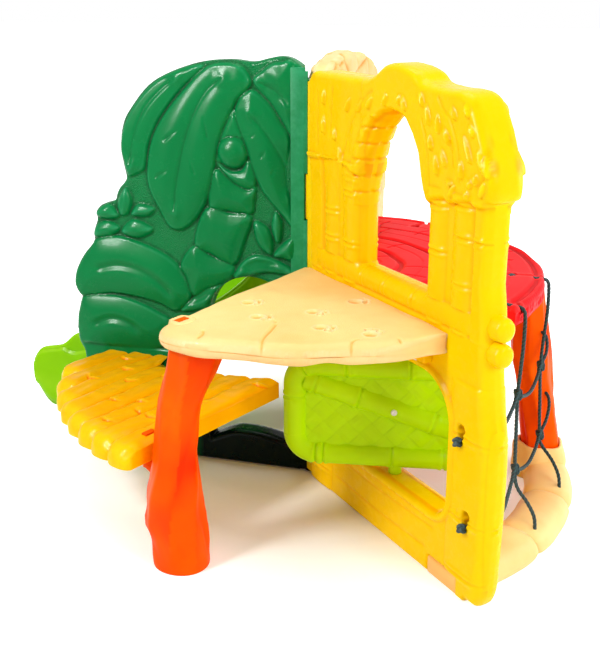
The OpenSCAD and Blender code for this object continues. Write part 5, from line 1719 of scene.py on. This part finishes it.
# %% Slide
SLIDE_MID, LIP_X = 400, -1005
slide = Piece()
slide_x = np.concatenate([np.arange(-35.5, -1030, -11), [-1036, -1041, -1045]])
rings, carve = [], []
for x in slide_x:
    bed, top, low = height_at(BED, x), height_at(RIMS, x), max(height_at(UNDER, x), 0)
    if x < LIP_X:
        bed = bed + 34 * ((LIP_X - x) / 41) ** 2
    top = max(top, bed + 24)
    wave = min(top - 13, np.interp(x, WAVE[:, 0], WAVE[:, 1]))
    belly = wave - low
    near_side = [
        (206, low), (197, low + 0.16 * belly), (191, low + 0.4 * belly), (190, low + 0.7 * belly),
        (191, wave - 7), (193, wave - 2), (198.5, wave + 2), (199.5, wave + 6), (199.5, top - 6),
        (205, top - 1.2), (211, top), (217, top - 1.2), (222.5, top - 6), (225, top - 14),
        (226, max(bed + 18, min(bed + 26, top - 16))), (230, bed + 11), (237, bed + 5),
        (250, bed + 1.5), (272, bed), (310, bed + 0.6), (355, bed)]
    inset = min((top - 13 - wave) / 20, 1)
    # Carve mark at each point of the section: painted sheen on the rims and the belly, painted shade at the
    # step and where the side meets the bed.
    tone = [-2, 0, 2.5, 0, 0, 3, 4, -1.8 * inset, 2 - 3.2 * inset,
            3, 4, 3.5, 2, 0.5, -1.2, -2, -2, -1.2, 0, 0, 0]
    carve.append(tone + [0] + tone[::-1] + [0] * 4)
    far_side = [(2 * SLIDE_MID - y, z) for y, z in reversed(near_side)]
    below = [(575, low), (575, max(bed - 34, low + 1)), (225, max(bed - 34, low + 1)), (225, low)]
    ring = np.array(near_side + [(SLIDE_MID, bed + 0.6)] + far_side + below)
    rings.append(np.column_stack([np.full(len(ring), x), ring]))
slide.net(rings, carve=carve)
prism(slide, -90, 225.5, 606.5, 34, 574.5, 640, lambda x, y, z: (x, y, z), 4)
slide.object("slide", LIME, "frame", ["slide"])

# %% [markdown]
# Three smooth stones under the net make the kerb, and a rocky socket holds the foot of the right trunk.
# Spheres could be scaled to stones, but these follow a circle about the pole. So each is a section bent
# round that circle, drawn in at its two ends and made lumpy by noise; the socket is a lumpy ring.

# %% Stone kerb
kerb = Piece()
# first and last direction of each stone, and its height
STONES = ((-44, -24.6, 62), (-24.6, -4.6, 59), (-4.6, 13.5, 62))
KERB_MID = 682
for k, (start, stop, height) in enumerate(STONES):
    rings = []
    for s in np.linspace(0, 1, 46):
        way = start + (stop - start) * s
        end = min(s, 1 - s) * math.radians(stop - start) * 680
        shrink = math.sqrt(max(1 - (1 - min(end / 34, 1)) ** 2, 0.0)) * 0.30 + 0.70
        section = spline([
            (615, 0), (613, 12), (617, 34), (628, height - 12), (644, height - 3), (668, height),
            (700, height - 2), (724, height - 10), (741, height - 26), (749, height - 44),
            (750, 10), (747, 0)], 4)
        round_it = section[:, 0] + section[:, 1]
        lumps = 3.0 * noise(np.column_stack([round_it, np.full(len(section), way * 12)]), 48, k)
        centre = np.array([KERB_MID, 0])
        part = (section - centre) * [shrink ** 0.6, shrink] * (1 + lumps[:, None] / 110) * [0.985, 0.98]
        part = centre + part
        x, y = polar(part[:, 0], way)
        rings.append(np.column_stack([x, y, np.maximum(part[:, 1], 0)]))
    kerb.net(rings)

around = np.linspace(0, 2 * np.pi, 64, endpoint=False)
SOCKET = [(79, 0), (80, 20), (79, 50), (76, 80), (71, 95), (65, 100), (60, 97), (59, 88), (59, 60), (59, 41)]
rings = []
for r, z in spline(SOCKET, 4):
    ring_z = np.full(len(around), z)
    lump = 4.0 * noise(np.column_stack([around * 60, ring_z]), 34, 3) + 3.5 * np.cos(5 * around + z / 30) - 3
    wide = r + np.where(r > 61, lump, 0)
    x, y = trunk_foot[0] + wide * np.cos(around), trunk_foot[1] + wide * np.sin(around)
    rings.append(np.column_stack([x, y, ring_z]))
kerb.net(rings)
prism(kerb, 615.5, -34.8, 0, 727.5, 34.8, 45, lambda u, w, z: ARCH(u, z, w), 4)
kerb.object("stone_kerb", TAN, "frame", ["stone_kerb"])

# %% [markdown]
# The gate in the gateway is a bamboo frame round a woven panel. Strips could be woven one by one, but on the
# real gate the weave is moulded. So the panel is a carved slab whose heights pass over and under as strips
# do, and the rails are swept bars with joints.

# %% Gate forms
GATE_X, GATE_Y, TURN = 295.57, -295.57, math.radians(8.5)
STRIP_PITCH = 44.0


def gate_place(x, y, z):
    c, s = math.cos(TURN), math.sin(TURN)
    return GATE_X + x * c - y * s, GATE_Y + x * s + y * c, z


def pole(piece, line, radius, joints):
    """Bamboo bar, a little wider than it is thick."""
    line = even(np.asarray(line, float), 3.5)
    along = np.concatenate([[0], np.cumsum(np.linalg.norm(np.diff(line, axis=0), axis=1))])
    r = np.full(len(line), float(radius))
    for spot_at in joints:
        d = np.abs(along - spot_at)
        r += 2.4 * np.exp(-((d - 7) / 5) ** 2) - 3.2 * np.exp(-(d / 2.6) ** 2)
    rings, _ = sweep(line, r, 28)
    thick = line[:, None, 1] + 0.84 * (rings[..., 1] - line[:, None, 1])
    piece.net(np.stack(gate_place(rings[..., 0], thick, rings[..., 2]), -1))


def weave(q, rim):
    a = (q[:, 0] + q[:, 1]) / math.sqrt(2) / STRIP_PITCH
    b = (q[:, 0] - q[:, 1]) / math.sqrt(2) / STRIP_PITCH
    fa, fb = a - np.floor(a), b - np.floor(b)
    over = (np.floor(a) + np.floor(b)) % 2 == 0
    length, width = np.where(over, fa, fb), np.where(over, fb, fa)
    strip = (0.45 + 0.55 * np.sin(np.pi * length)) * np.sqrt(np.maximum(np.sin(np.pi * width), 0))
    split = 0.10 * np.cos(2 * np.pi * width * 3)
    return 4.6 * (strip + split * strip) - 2.4, np.zeros(len(q))


print("gate hangs at", GATE_X, GATE_Y, "mm, its strips are", STRIP_PITCH, "mm apart")

# %% [markdown]
# The frame, the brace across it, the panel and two sleeves for the pins could ride as separate objects. They
# are moulded together, so they are one piece, and it turns with the gate's body. The white screw on the
# brace is a piece of its own, as on the real gate.

# %% Swivel gate
gate = Piece()
ring_line = rounded(-262, 220, 190, 464, 54, 54, 12)
ring_line = np.concatenate([ring_line, ring_line[:1]])
ring_line = np.insert(ring_line, 1, 0, axis=1)
RING_JOINTS = (84, 105, 283, 415, 515, 530, 665, 760, 837, 997, 1110, 1195, 1338)
pole(gate, ring_line, 30, RING_JOINTS)
pole(gate, [(-236, 2, 425), (-20, 2, 356), (195, 2, 287)], 31, (30, 147, 346))
panel = rounded(-266, 216, 194, 468, 49, 49, 12)
moulded(gate, panel, [], 9, 4, weave, weave, lambda x, z, w: gate_place(x, -w, z), 2.8, 2)
for low, high in ((172.5, 212), (472, 519.5)):
    lathe(gate, [(9, low), (15, low), (17, low + 2), (17, high - 2), (15, high), (9, high)], gate_place, 32)
gate.object("swivel_gate", GATE, "gate", ["swivel_gate"])

screw = Piece()
lathe(screw, [(0.4, 3.4), (2.2, 3.4), (2.6, 4.8), (5.4, 4.8), (7.6, 3.8), (8.2, 1.8), (8.2, -3)],
      lambda x, z, y: gate_place(-6 + x, -22.5 - y, 351 + z), 32)
screw.object("gate_screw", WHITE, "gate", ["gate_screw"])
